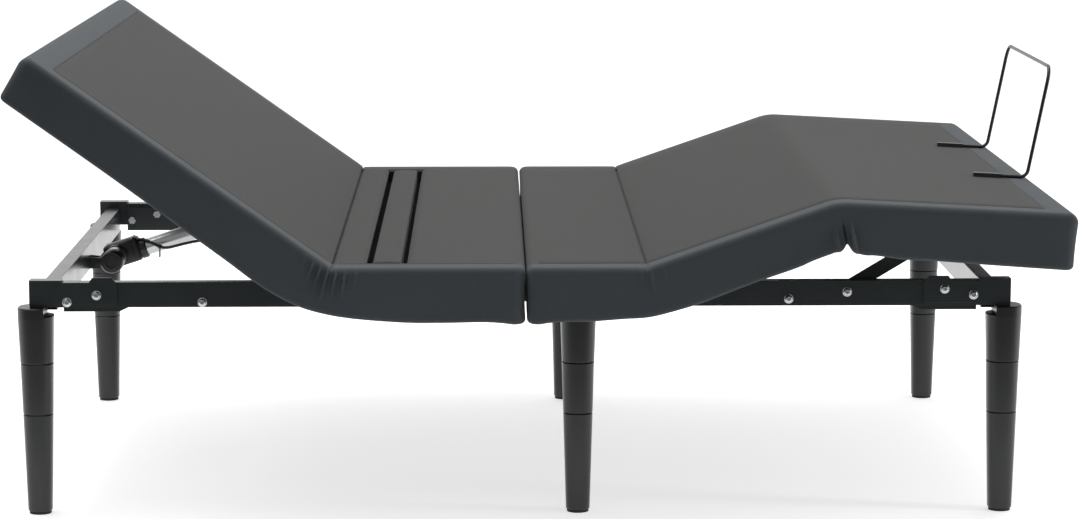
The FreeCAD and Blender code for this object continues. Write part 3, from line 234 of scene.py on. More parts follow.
# %% [markdown]
# ## The deck's side lines
# Each half of the deck is a ribbon of foam and boards in one sewn cover. Seen from the side the
# cover has a top line and a hem line. The top line folds sharply at a hinge that closes on top,
# and bends over the knee in a short arc. The hem sweeps under the hinges in long curves, because
# the side fabric bridges the joint. So a cover is made as rulings from the top line to the hem
# line: the rulings crowd together at a crease and fan out below it.

# %% The deck's side lines
PAD_RISE = DECK_TOP - HEAD_HINGE[1]           # hinge axes to the top of the foam
BOARD_DEPTH = 0.0247                          # top of the foam to just above the boards
FOAM_FOOT = 0.023                             # hinge axes to the underside of the foam
KNEE_RADIUS = 0.110                           # bend of the foam over the knee


def along(angle):
    return np.array([math.cos(angle), math.sin(angle)])


def above(angle):
    return np.array([-math.sin(angle), math.cos(angle)])


def fold_point(hinge, before, after):
    """Where two top lines at these angles meet above a hinge."""
    middle = (before + after) / 2
    return hinge + above(middle) * PAD_RISE / math.cos((after - before) / 2)


def straight_then_straight(fold, before, after, radius=0.0):
    """A top line as a function of the distance from its fold, rounded by a radius."""
    turn = after - before
    half_arc = radius * abs(turn) / 2
    tangent = radius * math.tan(abs(turn) / 2)

    def point(p):
        if p <= -half_arc:
            return fold + along(before) * (p + half_arc - tangent)
        if p >= half_arc:
            return fold + along(after) * (p - half_arc + tangent)
        start = fold - along(before) * tangent
        side = math.copysign(1.0, turn)
        centre = start + above(before) * radius * side
        swung = before + (p + half_arc) / radius * side
        return centre - above(swung) * radius * side

    def angle(p):
        if p <= -half_arc:
            return before
        if p >= half_arc:
            return after
        return before + turn * (p + half_arc) / (2 * half_arc)
    return point, angle


def smooth_through(knots):
    """A curve through knots (p, x, z), with a slope at each knot from its two neighbours."""
    table = np.array(knots, float)
    where, value = table[:, 0], table[:, 1:]
    chord = np.diff(value, axis=0) / np.diff(where)[:, None]
    step = np.diff(where)
    slope = np.vstack([chord[:1],
                       (chord[:-1] * step[1:, None] + chord[1:] * step[:-1, None])
                       / (step[1:] + step[:-1])[:, None],
                       chord[-1:]])

    def point(p):
        i = int(np.clip(np.searchsorted(where, p) - 1, 0, len(where) - 2))
        h = where[i + 1] - where[i]
        t = min(max((p - where[i]) / h, 0.0), 1.0)
        return ((2 * t**3 - 3 * t**2 + 1) * value[i] + (t**3 - 2 * t**2 + t) * h * slope[i]
                + (3 * t**2 - 2 * t**3) * value[i + 1] + (t**3 - t**2) * h * slope[i + 1])
    return point


def hem_line(hinge, top, angle, knots):
    """The hem: a knot is (p, depth), square to the top line, or (p, x, z) from the hinge."""
    placed = []
    for knot in knots:
        if len(knot) == 2:
            at = top(knot[0]) - above(angle(knot[0])) * knot[1]
        else:
            at = hinge + np.array(knot[1:])
        placed.append((knot[0], at[0], at[1]))
    return smooth_through(placed)


HEAD_FOLD = fold_point(HEAD_HINGE, -HEAD_ANGLE, 0)
THIGH_FOLD = fold_point(THIGH_HINGE, 0, THIGH_ANGLE)
KNEE_FOLD = fold_point(KNEE, THIGH_ANGLE, -FOOT_SLOPE)
head_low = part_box("head_pad")[0].x
HEAD_LENGTH = (HEAD_HINGE[0] - head_low + FOAM_FOOT * math.sin(HEAD_ANGLE)) / math.cos(HEAD_ANGLE)
foot_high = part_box("foot_pad")[1].x
FOOT_LENGTH = (foot_high - KNEE[0] - PAD_RISE * math.sin(FOOT_SLOPE)) / math.cos(FOOT_SLOPE)
END_PROUD = 0.003                             # how far a cover stands out from the foam's end
head_tuck = np.linalg.norm(HEAD_FOLD - HEAD_HINGE - above(-HEAD_ANGLE) * PAD_RISE)
HEAD_END = -(HEAD_LENGTH - head_tuck) - END_PROUD
GAP_BULGE = 0.0042                            # how far each cover swells into the gap
HEAD_GAP_END = GAP_HEAD - HEAD_FOLD[0] + GAP_BULGE
FOOT_GAP_END = GAP_FOOT - THIGH_FOLD[0] - GAP_BULGE
knee_turn = THIGH_ANGLE + FOOT_SLOPE
knee_tangent = KNEE_RADIUS * math.tan(knee_turn / 2)
knee_arc = KNEE_RADIUS * knee_turn / 2
FOOT_END = FOOT_LENGTH + PAD_RISE * math.tan(knee_turn / 2) - knee_tangent + knee_arc + END_PROUD
THIGH_RUN = float(np.linalg.norm(KNEE_FOLD - THIGH_FOLD))
SPLIT = THIGH_RUN / 2                         # the two foot covers meet in the middle of the thigh
SPLIT_FROM_KNEE = SPLIT - THIGH_RUN + knee_tangent - knee_arc
print("head end", round(HEAD_END, 4), "foot end", round(FOOT_END, 4), "thigh run", round(THIGH_RUN, 4))

head_top, head_slope = straight_then_straight(HEAD_FOLD, -HEAD_ANGLE, 0)
head_hem = hem_line(HEAD_HINGE, head_top, head_slope, [
    (HEAD_END, 0.091), (-0.40, 0.093), (-0.17, 0.098), (-0.086, -0.096, 0.0045), (-0.032, -0.042, -0.023),
    (0.018, 0.012, -0.038), (0.0565, 0.057, -0.045), (0.0945, 0.102, -0.049), (0.1325, 0.147, -0.052),
    (0.20, 0.2153, -0.0525), (HEAD_GAP_END - 0.045, 0.101), (HEAD_GAP_END - 0.02, 0.104),
    (HEAD_GAP_END, 0.105)])
thigh_top, thigh_slope = straight_then_straight(THIGH_FOLD, 0, THIGH_ANGLE)
thigh_hem = hem_line(THIGH_HINGE, thigh_top, thigh_slope, [
    (FOOT_GAP_END, 0.105), (FOOT_GAP_END + 0.02, 0.104), (FOOT_GAP_END + 0.045, 0.1005),
    (-0.10, -0.108, -0.0505), (-0.05, -0.054, -0.0465), (0.0, -0.001, -0.0425), (0.04, 0.045, -0.031),
    (0.09, 0.099, -0.0140), (0.13, 0.142, 0.003), (SPLIT, 0.0898)])
knee_top, knee_slope = straight_then_straight(KNEE_FOLD, THIGH_ANGLE, -FOOT_SLOPE, KNEE_RADIUS)
knee_hem = hem_line(KNEE, knee_top, knee_slope, [
    (SPLIT_FROM_KNEE, 0.0898), (-0.10, 0.0895), (-0.05, -0.046, -0.0570), (-0.022, -0.012, -0.0445),
    (-0.008, 0.003, -0.0395), (0.0, 0.011, -0.0295), (0.008, 0.020, -0.0415), (0.022, 0.036, -0.0475),
    (0.055, 0.062, -0.0495), (0.10, 0.106, -0.0560), (0.18, 0.0985), (0.28, 0.101), (FOOT_END, 0.104)])

# %% [markdown]
# ## Sewn covers
# A cover is a top panel and a border. The border is a strip on top, 55 mm wide, that turns over the
# rounded edge of the foam, goes down to the hem and back up inside. It could be made by bevelling a
# block, but a block has no cloth direction, no seam and no hem. Here the border is a set of rings
# round the deck, one ring for each point of its cross-section, and the panel is a grid that fills
# the innermost ring. Both are closed solids, and each point remembers its place on the flat cloth.
#
# The foot half is one cover on the real base. Here it is two that meet in the middle of the thigh
# section, so that each bends over one hinge; the ends where they meet are cut, not turned down.
# At the gap between the halves the panel's fabric runs over the edge with no strip on top, and the
# end reaches down to the hem beside the rails but only a little way over them. Such an end is
# plain, and its top takes the panel's fabric. The walls of the two slots in the seat get a near-black
# painted shade, so they stay dark. The side fabric gathers in small pleats where a hinge closes it up.

# %% Sewn covers
SEAM_INSET = 0.055                            # edge of the deck to the seam
CORNER = 0.022                                # corner radius seen from above
SIDE_RADIUS = 0.012                           # rounding of the long edges
END_RADIUS = 0.019                            # rounding of the head and foot ends
WALL = 0.018                                  # thickness of the side, foam and fabric
END_LEAN, FOOT_LEAN = 0.006, 0.003            # how far the head and foot ends lean in at the hem
GAP_SHALLOW, GAP_DEEP = 0.052, 0.095          # depth of the ends at the gap, over and between the rails
RAIL_MIDDLE = sum(corner.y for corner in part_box("left_head_rail")) / 2
RAIL_CLEAR, RAIL_EASE = 0.030, 0.045          # half width of the shallow part, and its run-out
STEP = 0.018                                  # usual distance between rulings
PLEAT_STEP = 0.0021                           # rulings across the pleats
FINE = [0.0018, 0.0036, 0.0065, 0.0105, 0.0155, 0.0215, 0.0285, 0.037, 0.047, 0.059]


def stations(start, end, folds, pleated):
    """Distances along a cover, close together near its folds and across its pleats."""
    found = {round(p, 5) for p in np.linspace(start, end, int((end - start) / STEP) + 2)}
    for fold in folds:
        found = {p for p in found if abs(p - fold) > 0.064}
        found |= {round(fold + side * away, 5) for away in [0] + FINE for side in (-1, 1)}
    low, high = pleated
    found = {p for p in found if p < low or p > high or abs(p) < 0.004}
    found |= {round(p, 5) for p in np.arange(low, high, PLEAT_STEP)
              if min(abs(p - fold) for fold in folds) > 0.0045}
    return sorted(p for p in found if start <= p <= end)


def falling(distance, reach):
    """1 at no distance, falling smoothly to 0 at the reach."""
    t = min(max(distance / reach, 0.0), 1.0)
    return 1 - t * t * (3 - 2 * t)


class Cover:
    """One cover's lines, ends and folds.

    A crease is (place, depth). A gather is (place, width, how far it stands out, the share of the
    depth that it starts at, the share that it ends at).
    """

    def __init__(self, name, lines, ends, folds, creases, gathers,
                 cut_ends=(False, False), gap_ends=(False, False), opening=None):
        (top, angle, hem), (start, end) = lines, ends
        self.name, self.top, self.angle, self.hem = name, top, angle, hem
        self.start, self.end, self.creases, self.gathers = start, end, creases, gathers
        self.cut_ends, self.gap_ends, self.opening = cut_ends, gap_ends, opening
        # ends where the panel runs right to the edge, with no border strip on top
        self.plain_ends = [cut or gap for cut, gap in zip(cut_ends, gap_ends)]
        inner_start = start if cut_ends[0] else start + CORNER
        inner_end = end if cut_ends[1] else end - CORNER
        pleated = (min(g[0] for g in gathers) - 0.01, max(g[0] for g in gathers) + 0.01)
        self.places = sorted(set(stations(inner_start, inner_end, folds, pleated)) | {inner_start, inner_end})
        self.half = HALF_WIDTH - CORNER
        self.widths = [float(y) for y in np.linspace(-self.half, self.half, 49)]

    def ruling(self, p):
        """Top point, direction to the hem, and length down to it."""
        upper, lower = self.top(p), self.hem(p)
        length = float(np.linalg.norm(lower - upper))
        return upper, (lower - upper) / length, length

    def depth_at(self, p, y, onto):
        """How far down the border goes: less across the gap, where the frame passes below."""
        full = self.ruling(p)[2]
        gap = (onto < 0 and self.gap_ends[0]) or (onto > 0 and self.gap_ends[1])
        if not gap or abs(onto) < 0.99:
            return full
        deep = full if abs(y) > RAIL_MIDDLE else GAP_DEEP
        over_rail = falling(abs(abs(y) - RAIL_MIDDLE) - RAIL_CLEAR, RAIL_EASE)
        return GAP_SHALLOW + (deep - GAP_SHALLOW) * (1 - over_rail)

    def crease_at(self, p):
        """How deep the top is pinched where a hinge folds it."""
        return sum(deep * max(0.0, 1 - abs(p - fold) / 0.0036) ** 1.3
                   + 0.0012 * falling(abs(p - fold), 0.02) for fold, deep in self.creases)

    def gather_at(self, p, share):
        """Pleats of the side fabric: how far it stands in or out at a share of its depth."""
        out = 0.0
        for place, width, high, top_share, low_share in self.gathers:
            spread = width * (0.75 + 0.5 * share)
            across = (p - place) / spread
            peak = top_share + 0.25 * (low_share - top_share)
            down = falling(peak - share, peak - top_share + 0.04) if share < peak else \
                falling(share - peak, low_share - peak)
            out += high * down * math.exp(-across * across * 3.2) * math.cos(across * 3.1)
        return out

    def place(self, p, y, onto, aside, out, depth):
        """A point of the border; onto and aside give the outward direction at the edge."""
        inward = max(0.0, -out)
        outward = max(0.0, out)
        low = self.places[0] + (0 if self.plain_ends[0] else inward)
        high = self.places[-1] - (0 if self.plain_ends[1] else inward)
        p = min(max(p, low), high)
        y = min(max(y, inward - self.half), self.half - inward)
        upper, down, length = self.ruling(p)
        at = upper + along(self.angle(p)) * onto * outward + down * depth
        flat = (p + onto * (outward + max(depth, 0)), y + aside * (outward + max(depth, 0)))
        return (at[0], y + aside * outward, at[1]), flat


def border_profile(radius, depth, lean):
    """The border's cross-section as (outward, depth) pairs, from its seam round to the inside."""
    seam = CORNER - SEAM_INSET
    flat = CORNER - radius
    section = [(seam, 0.0016), (seam + 0.0013, 0.0005), (seam + 0.0035, 0.0), (seam * 0.5, -0.0005),
               (0.0, 0.0)]
    section += [(flat + radius * math.sin(math.radians(t)), radius * (1 - math.cos(math.radians(t))))
                for t in (0, 18, 36, 54, 72, 90)]
    span = depth - radius - 0.007
    section += [(CORNER - 0.0016 * math.sin(math.pi * k / 10) - lean * (k / 10) ** 2, radius + span * k / 10)
                for k in range(1, 11)]
    section += [(CORNER - back - lean, depth - short) for back, short in
                ((0.001, 0.004), (0.003, 0.0015), (0.006, 0.0), (0.012, 0.0), (0.0165, 0.0015))]
    section += [(CORNER - WALL - lean, depth - 0.005), (CORNER - WALL, BOARD_DEPTH + 0.012),
                (CORNER - WALL, BOARD_DEPTH), (seam, BOARD_DEPTH)]
    return section


def edge_round(cover):
    """Points round the deck's edge: place along, place across, and the outward direction."""
    fan = [math.radians(t) for t in (15, 30, 45, 60, 75)]
    first, last, half = cover.places[0], cover.places[-1], cover.half
    points = [(p, half, 0, 1) for p in cover.places]
    if not cover.cut_ends[1]:
        points += [(last, half, math.sin(t), math.cos(t)) for t in fan]
        points += [(last, y, 1, 0) for y in reversed(cover.widths)]
        points += [(last, -half, math.cos(t), -math.sin(t)) for t in fan]
    else:
        points.append(None)
    points += [(p, -half, 0, -1) for p in reversed(cover.places)]
    if not cover.cut_ends[0]:
        points += [(first, -half, -math.sin(t), -math.cos(t)) for t in fan]
        points += [(first, y, -1, 0) for y in cover.widths]
        points += [(first, half, -math.cos(t), math.sin(t)) for t in fan]
    else:
        points.append(None)
    return points


def make_border(cover):
    """The border as a ring of cross-sections round the deck, closed where an end is cut."""
    points, flats, faces, columns = [], [], [], []
    for spot in edge_round(cover):
        if spot is None:
            columns.append(None)
            continue
        p, y, onto, aside = spot
        rounding = SIDE_RADIUS + (END_RADIUS - SIDE_RADIUS) * onto * onto
        gap = (onto < 0 and cover.gap_ends[0]) or (onto > 0 and cover.gap_ends[1])
        lean = 0.0 if gap else (END_LEAN if onto < 0 else FOOT_LEAN) * onto * onto
        if gap:
            rounding = SIDE_RADIUS
        depth = cover.depth_at(p, y, onto)
        column = []
        section = border_profile(rounding, depth, lean)
        for index, (out, down) in enumerate(section):
            on_side = aside and not onto
            down = 0.0 if gap and index < 5 else down
            fade = falling(max(0.0, -out), SEAM_INSET - CORNER)
            sunk = cover.crease_at(p) * 0.35 * fade if on_side and index < 8 else 0
            pleated = on_side and 6 < index < len(section) - 4 and out > 0
            stand = cover.gather_at(p, down / depth) if pleated else 0
            at, flat = cover.place(p, y, onto, aside, out + stand, down + sunk)
            column.append(len(points))
            points.append(at)
            flats.append(flat)
        columns.append(column)
    count = len(columns)
    rows = len(next(column for column in columns if column))
    for index in range(count):
        here, after = columns[index], columns[(index + 1) % count]
        if here is None or after is None:
            edge = here or after
            faces.append(edge if here is None else list(reversed(edge)))
            continue
        for row in range(rows):
            nxt = (row + 1) % rows
            faces.append([here[row], after[row], after[nxt], here[nxt]])
    return piece_from(cover.name + "_border", points, faces, BORDER_FABRIC, cloth=flats)


def make_panel(cover):
    """The panel as a grid with a top and an underside, and walls round it and its opening."""
    inset = SEAM_INSET - CORNER
    first = cover.places[0] + (0 if cover.plain_ends[0] else inset)
    last = cover.places[-1] - (0 if cover.plain_ends[1] else inset)
    half = cover.half - inset
    lines = {round(p, 6) for p in cover.places if first < p < last} | {first, last}
    across = {round(y, 6) for y in np.linspace(-half, half, 41)} | {half, -half}
    for near in (0.0012, 0.0032):
        beside_seam = ((first + near, cover.plain_ends[0]), (last - near, cover.plain_ends[1]))
        lines |= {p for p, plain in beside_seam if not plain}
        across |= {half - near, near - half}
    if cover.opening:
        low, high, wide = cover.opening
        lines = {p for p in lines if not (low - 0.008 < p < high + 0.008)}
        across = {y for y in across if abs(abs(y) - wide) > 0.008}
        for near in (0.0, 0.0012, 0.003, 0.006):
            lines |= {low - near, high + near}
            across |= {wide + near, -wide - near}
    lines, across = sorted(lines), sorted(across)

    def inside(p, y):
        return cover.opening and low < p < high and abs(y) < wide

    points, flats, faces, index = [], [], [], {}
    for layer in (0, 1):
        for i, p in enumerate(lines):
            upper, down, _ = cover.ruling(p)
            for j, y in enumerate(across):
                depth = BOARD_DEPTH
                if layer == 0:
                    edges = [half - abs(y)]
                    edges += [] if cover.plain_ends[0] else [p - first]
                    edges += [] if cover.plain_ends[1] else [last - p]
                    depth = cover.crease_at(p) + 0.0016 * falling(min(edges), 0.0033)
                    if cover.opening:
                        away = math.hypot(max(low - p, p - high, 0), max(abs(y) - wide, 0))
                        depth += 0.004 * falling(away, 0.006)
                at = upper + down * depth
                index[layer, i, j] = len(points)
                points.append((at[0], y, at[1]))
                flats.append((p, y))
    cells = {(i, j) for i in range(len(lines) - 1) for j in range(len(across) - 1)
             if not inside((lines[i] + lines[i + 1]) / 2, (across[j] + across[j + 1]) / 2)}
    for i, j in cells:
        ring = [(i, j), (i + 1, j), (i + 1, j + 1), (i, j + 1)]
        faces.append([index[(0,) + c] for c in ring])
        faces.append([index[(1,) + c] for c in reversed(ring)])
        neighbours = ((i, j - 1), (i + 1, j), (i, j + 1), (i - 1, j))
        for (a, b), beside in zip(zip(ring, ring[1:] + ring[:1]), neighbours):
            if beside not in cells:
                faces.append([index[(0,) + a], index[(0,) + b], index[(1,) + b], index[(1,) + a]])
    return piece_from(cover.name + "_panel", points, faces, PANEL_FABRIC, cloth=flats)


def recover(piece, material, chosen):
    """Give a second material to the faces of a piece that are chosen by their middle and direction."""
    piece.data.materials.append(material)
    for polygon in piece.data.polygons:
        if chosen(polygon.center, polygon.normal):
            polygon.material_index = 1


# painted shade: near-black cloth for the walls of the seat's slots, so they stay dark as if in shadow
SLOT_SHADE_BLACK = woven_fabric("painted_slot_shade_black", "#0A0A0A", "#060606", 0.35, 1.5, 0.0)
slat_low, slat_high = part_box("lumbar_slat")
SLOT = 0.011                                  # width of the slots beside the slat
opening = (slat_low.x - SLOT - HEAD_FOLD[0], slat_high.x + SLOT - HEAD_FOLD[0], slat_high.y + SLOT / 2)
COVERS = [
    Cover("head_half", (head_top, head_slope, head_hem), (HEAD_END, HEAD_GAP_END), [0.0], [(0.0, 0.0075)],
          [(-0.052, 0.008, 0.0034, 0.05, 0.40), (-0.035, 0.0065, 0.0068, 0.04, 0.62),
           (-0.020, 0.006, 0.0080, 0.03, 0.74), (-0.005, 0.006, 0.0086, 0.03, 0.80),
           (0.011, 0.006, 0.0082, 0.03, 0.72), (0.027, 0.0065, 0.0068, 0.04, 0.66),
           (0.046, 0.008, 0.0036, 0.05, 0.45)],
          gap_ends=(False, True), opening=opening),
    Cover("thigh_half", (thigh_top, thigh_slope, thigh_hem), (FOOT_GAP_END, SPLIT), [0.0], [(0.0, 0.0055)],
          [(-0.012, 0.010, 0.0026, 0.06, 0.5), (0.006, 0.008, 0.0040, 0.05, 0.6),
           (0.028, 0.012, 0.0018, 0.1, 0.4)],
          cut_ends=(False, True), gap_ends=(True, False)),
    Cover("foot_half", (knee_top, knee_slope, knee_hem), (SPLIT_FROM_KNEE, FOOT_END), [0.0], [],
          [(0.0, 0.006, -0.0095, 0.42, 1.6), (0.014, 0.007, 0.0070, 0.36, 1.5),
           (-0.014, 0.008, 0.0055, 0.48, 1.5)],
          cut_ends=(True, False)),
]
COVERED = {
    "head_half": (["head_pad", "head_seat_pad"], ["head_skirt", "head_seat_skirt"]),
    "thigh_half": (["foot_seat_pad", "thigh_pad"], ["foot_seat_skirt", "thigh_skirt"]),
    "foot_half": (["foot_pad"], ["foot_skirt"]),
}


def across_hinge(piece):
    """Bake a piece's placement into its mesh."""
    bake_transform(piece)


for cover in COVERS:
    pads, skirts = COVERED[cover.name]
    panel, border = make_panel(cover), make_border(cover)
    if cover.opening:
        low, high, wide = slat_low.x - SLOT, slat_high.x + SLOT, cover.opening[2]
        # the slot walls get the near-black painted shade
        recover(panel, SLOT_SHADE_BLACK, lambda at, way: abs(way.z) < 0.6
                and low - MM < at.x < high + MM and abs(at.y) < wide + MM)
    if any(cover.gap_ends):
        recover(border, PANEL_FABRIC, lambda at, way: abs(at.x - GAP) < 0.035 and way.z > 0.35
                and abs(at.y) < HALF_WIDTH - SEAM_INSET)
    for piece, nodes, slot in ((panel, pads, "cover_fabric"), (border, skirts, "side_fabric")):
        across_hinge(piece)
        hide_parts(*nodes)
    print(cover.name, len(panel.data.vertices), len(border.data.vertices))

# %% [markdown]
# ## Actuator cable
# A thin black cable runs from the head actuator's gear housing, under the raised section, and over
# the lift tube to the control box. It is a stiff PVC-jacketed cable, so it takes wide bends. The
# housing end swings a little with the actuator.
# The route is a smooth curve through a row of points, in millimetres, and the mesh follows it.

# %% Actuator cable
CABLE_RADIUS = 0.003
CABLE_ROUTE = [(-817.7, -8, 440), (-801.7, -14, 440), (-782.7, -28, 432), (-760.7, -38, 425),
               (-728.7, -40, 434), (-688.7, -42, 443), (-638.7, -52, 446), (-568.7, -62, 443),
               (-493.7, -62, 446), (-423.7, -50, 447), (-373.7, -20, 433), (-343.7, 38, 426),
               (-310.7, 92, 421), (-263.7, 92, 421)]
route = bpy.data.curves.new("cable_route", "CURVE")
route.dimensions = "3D"
spline = route.splines.new("NURBS")
spline.points.add(len(CABLE_ROUTE) - 1)
for knot, (x, y, z) in zip(spline.points, CABLE_ROUTE):
    knot.co = (x * MM, y * MM, z * MM, 1)
spline.order_u = 3
spline.use_endpoint_u = True
spline.resolution_u = 12
route_object = bpy.data.objects.new("cable_route", route)
line = bpy.data.meshes.new_from_object(route_object)
path = [vertex.co.copy() for vertex in line.vertices]
bpy.data.objects.remove(route_object)


def tube_along(name, path, radius, material, sides=16):
    """A round solid that follows a path, closed at its ends."""
    points = []
    side = Vector((0, 1, 0))
    for index, at in enumerate(path):
        way = (path[min(index + 1, len(path) - 1)] - path[max(index - 1, 0)]).normalized()
        side = (side - way * side.dot(way)).normalized()
        other = way.cross(side)
        for step in range(sides):
            turn = 2 * math.pi * step / sides
            points.append(at + (side * math.cos(turn) + other * math.sin(turn)) * radius)
    return piece_from(name, points, loft_faces(len(path), sides), material)


PVC_BLACK, tree, shader = new_material("pvc_cable_black", 0.45, ior=1.53)
grime = add_node(tree, "ShaderNodeTexNoise", Scale=300.0, Detail=3.0)
tree.links.new(mixed_colour(tree, grime.outputs["Fac"], "#131314", "#1E1F20").outputs[0],
               shader.inputs["Base Color"])
cable = tube_along("actuator_cable_jacket", path, CABLE_RADIUS, PVC_BLACK)
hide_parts("actuator_cable")
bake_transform(cable)

# %% [markdown]
# ## Hard finishes
# The frame is folded and welded steel under a semi-gloss black powder coat, which leaves a fine
# orange-peel. The bolts and studs are zinc plated. The legs are moulded ABS, charcoal, with a
# fine spark texture from the mould. The boards are faced with black felt, which gives back almost
# no light. Each finish is a colour that varies a little, a roughness that varies a little, and a
# bump whose scale comes from its real grain.

# %% Hard finishes


def coated(name, low, high, roughness, ior, grain_mm, bump, metallic=0.0, round_mm=0.0, **fixed):
    """A coat or moulding: mottled colour, uneven gloss, and a grain of that size."""
    material, tree, shader = new_material(name, roughness, metallic, ior, **fixed)
    place = add_node(tree, "ShaderNodeTexCoord")
    broad = add_node(tree, "ShaderNodeTexNoise", Vector=place.outputs["Object"], Scale=14.0, Detail=5.0)
    grain = add_node(tree, "ShaderNodeTexNoise", Vector=place.outputs["Object"],
                     Scale=0.5 / (grain_mm * MM), Detail=2.0)
    colour = mixed_colour(tree, broad.outputs["Fac"], low, high)
    tree.links.new(colour.outputs[0], shader.inputs["Base Color"])
    gloss = add_node(tree, "ShaderNodeMapRange", Value=broad.outputs["Fac"], To_Min=roughness * 0.8,
                     To_Max=roughness * 1.25)
    tree.links.new(gloss.outputs[0], shader.inputs["Roughness"])
    relief = add_node(tree, "ShaderNodeBump", Strength=bump, Distance=grain_mm * MM * 0.5,
                      Height=grain.outputs["Fac"])
    if round_mm:
        worn = add_node(tree, "ShaderNodeBevel", {"samples": 4}, Radius=round_mm * MM)
        tree.links.new(worn.outputs[0], relief.inputs["Normal"])
    tree.links.new(relief.outputs[0], shader.inputs["Normal"])
    return material


POWDER_COAT = coated("powder_coated_steel_black", "#252A2B", "#2B3031", 0.22, 1.5, 1.2, 0.10, round_mm=1.2)
LEG_ABS = coated("moulded_abs_charcoal", "#0F1112", "#141517", 0.30, 1.54, 0.8, 0.06)
GLIDE_RUBBER = coated("moulded_rubber_black", "#151516", "#202021", 0.75, 1.52, 1.0, 0.15)
ZINC = coated("zinc_plated_steel", "#B9BCBC", "#E4E6E6", 0.24, 1.45, 1.0, 0.05, metallic=1.0)
CHROME = coated("chromed_steel_rod", "#C9CACB", "#DCDDDD", 0.12, 1.45, 0.8, 0.02, metallic=1.0)
ALUMINIUM = coated("anodised_aluminium_tube", "#C8CBCB", "#DEE0E0", 0.30, 1.45, 0.6, 0.05, metallic=1.0)
NYLON = coated("moulded_nylon_white", "#C4C2BA", "#D2D0C8", 0.45, 1.53, 1.0, 0.06, Subsurface_Weight=0.05)
BLACK_ABS = coated("moulded_abs_black", "#141516", "#1D1E1F", 0.36, 1.54, 0.8, 0.08)
BAR_ENAMEL = coated("enamelled_wire_black", "#0E0F10", "#181A1B", 0.30, 1.5, 0.8, 0.05)
BOARD = coated("felt_faced_plywood_black", "#0C0B0B", "#121111", 0.95, 1.5, 2.5, 0.25,
               Specular_IOR_Level=0.05)
MOTOR_STEEL = coated("drawn_steel_motor_can", "#A9ACAD", "#C9CCCD", 0.28, 1.45, 0.8, 0.05, metallic=1.0)


def wear(names, material):
    """Give CAD nodes their finish."""
    for name in names:
        mesh = NODES[name].data
        mesh.materials.clear()
        mesh.materials.append(material)


wear(["left_head_rail", "left_foot_rail", "right_head_rail", "right_foot_rail", "fold_plates",
      "head_cross_member", "foot_cross_member", "middle_cross_member", "corner_brackets", "rail_gussets",
      "seat_bearers", "seat_hinge_leaves", "head_hinge_leaves", "thigh_hinge_leaves", "foot_hinge_leaves",
      "lift_tube_bearings", "head_lift_tube", "head_lift_arms", "head_lift_lever", "leg_lift_tube",
      "leg_lift_arms", "leg_lift_lever", "actuator_clevises", "foot_links", "foot_link_brackets"],
     POWDER_COAT)
wear(["leg_studs"], ZINC)
wear(["leg_glides"], GLIDE_RUBBER)
wear(["head_lift_rollers", "leg_lift_rollers"], NYLON)
wear(["head_actuator_rod", "leg_actuator_rod"], CHROME)
wear(["retainer_bar"], BAR_ENAMEL)
wear(["retainer_sockets", "cable_tie"], BLACK_ABS)
wear(["head_board", "head_seat_board", "foot_seat_board", "thigh_board", "foot_board"], BOARD)

# %% [markdown]
# ## Where the separate solids of one node are
# Six legs and eighteen bolts are one node each in the model. Their places come from the solids
# themselves: faces that share a corner belong to one solid, and each solid has its own box.

# %% Separate solids


def solids_of(node):
    """The lowest and highest corner of each separate solid of a CAD node."""
    mesh = NODES[node].data
    where = np.array([vertex.co[:] for vertex in mesh.vertices])
    _, same = np.unique(np.round(where, 5), axis=0, return_inverse=True)
    same = same.reshape(-1)
    root = list(range(int(same.max()) + 1))

    def find(a):
        while root[a] != a:
            root[a] = root[root[a]]
            a = root[a]
        return a
    for polygon in mesh.polygons:
        first = find(same[polygon.vertices[0]])
        for corner in polygon.vertices[1:]:
            root[find(same[corner])] = first
    groups = {}
    for index, spot in enumerate(same):
        groups.setdefault(find(spot), []).append(index)
    boxes = [(where[members].min(0), where[members].max(0)) for members in groups.values()]
    return sorted(boxes, key=lambda box: (round(float(box[0][0]), 3), round(float(box[0][1]), 3)))


def revolved(profile, sides, squareness=2.0):
    """Points, faces and finishes of a turned shape; the profile is rows of (radius, height, finish).

    A squareness above 2 turns the circle into a rounded square.
    """
    points = []
    for radius, height, _ in profile:
        for step in range(sides):
            turn = 2 * math.pi * step / sides
            c, s = math.cos(turn), math.sin(turn)
            reach = radius / (abs(c) ** squareness + abs(s) ** squareness) ** (1 / squareness)
            points.append(Vector((reach * c, reach * s, height)))
    finishes = [row[2] for row in profile[1:] for _ in range(sides)] + [profile[0][2], profile[-1][2]]
    return points, loft_faces(len(profile), sides), finishes


def gathered(name, parts, materials, crisp_deg=38):
    """One piece from (points, faces, finishes, placement) parts."""
    points, faces, finishes = [], [], []
    for part_points, part_faces, part_finishes, placed in parts:
        start = len(points)
        points += [placed @ point for point in part_points]
        faces += [[start + corner for corner in face] for face in part_faces]
        finishes += part_finishes
    mesh = bpy.data.meshes.new(name)
    mesh.from_pydata([tuple(point) for point in points], [], faces)
    for material in materials:
        mesh.materials.append(material)
    for polygon, finish in zip(mesh.polygons, finishes):
        polygon.material_index = finish
    fix = bmesh.new()
    fix.from_mesh(mesh)
    bmesh.ops.recalc_face_normals(fix, faces=fix.faces)
    fix.to_mesh(mesh)
    fix.free()
    mesh.set_sharp_from_angle(angle=math.radians(crisp_deg))
    made = bpy.data.objects.new(name, mesh)
    bpy.context.scene.collection.objects.link(made)
    return made


# %% [markdown]
# ## Legs
# Each leg is screwed together from three hollow mouldings. They taper evenly to the floor, are
# square with very round corners, and meet in two fine grooves. The top of a leg steps down beside
# the rail, and the bright stud shows in the step. A turned profile with a rounded-square outline
# gives the taper and the grooves, and a second lower top gives the step.

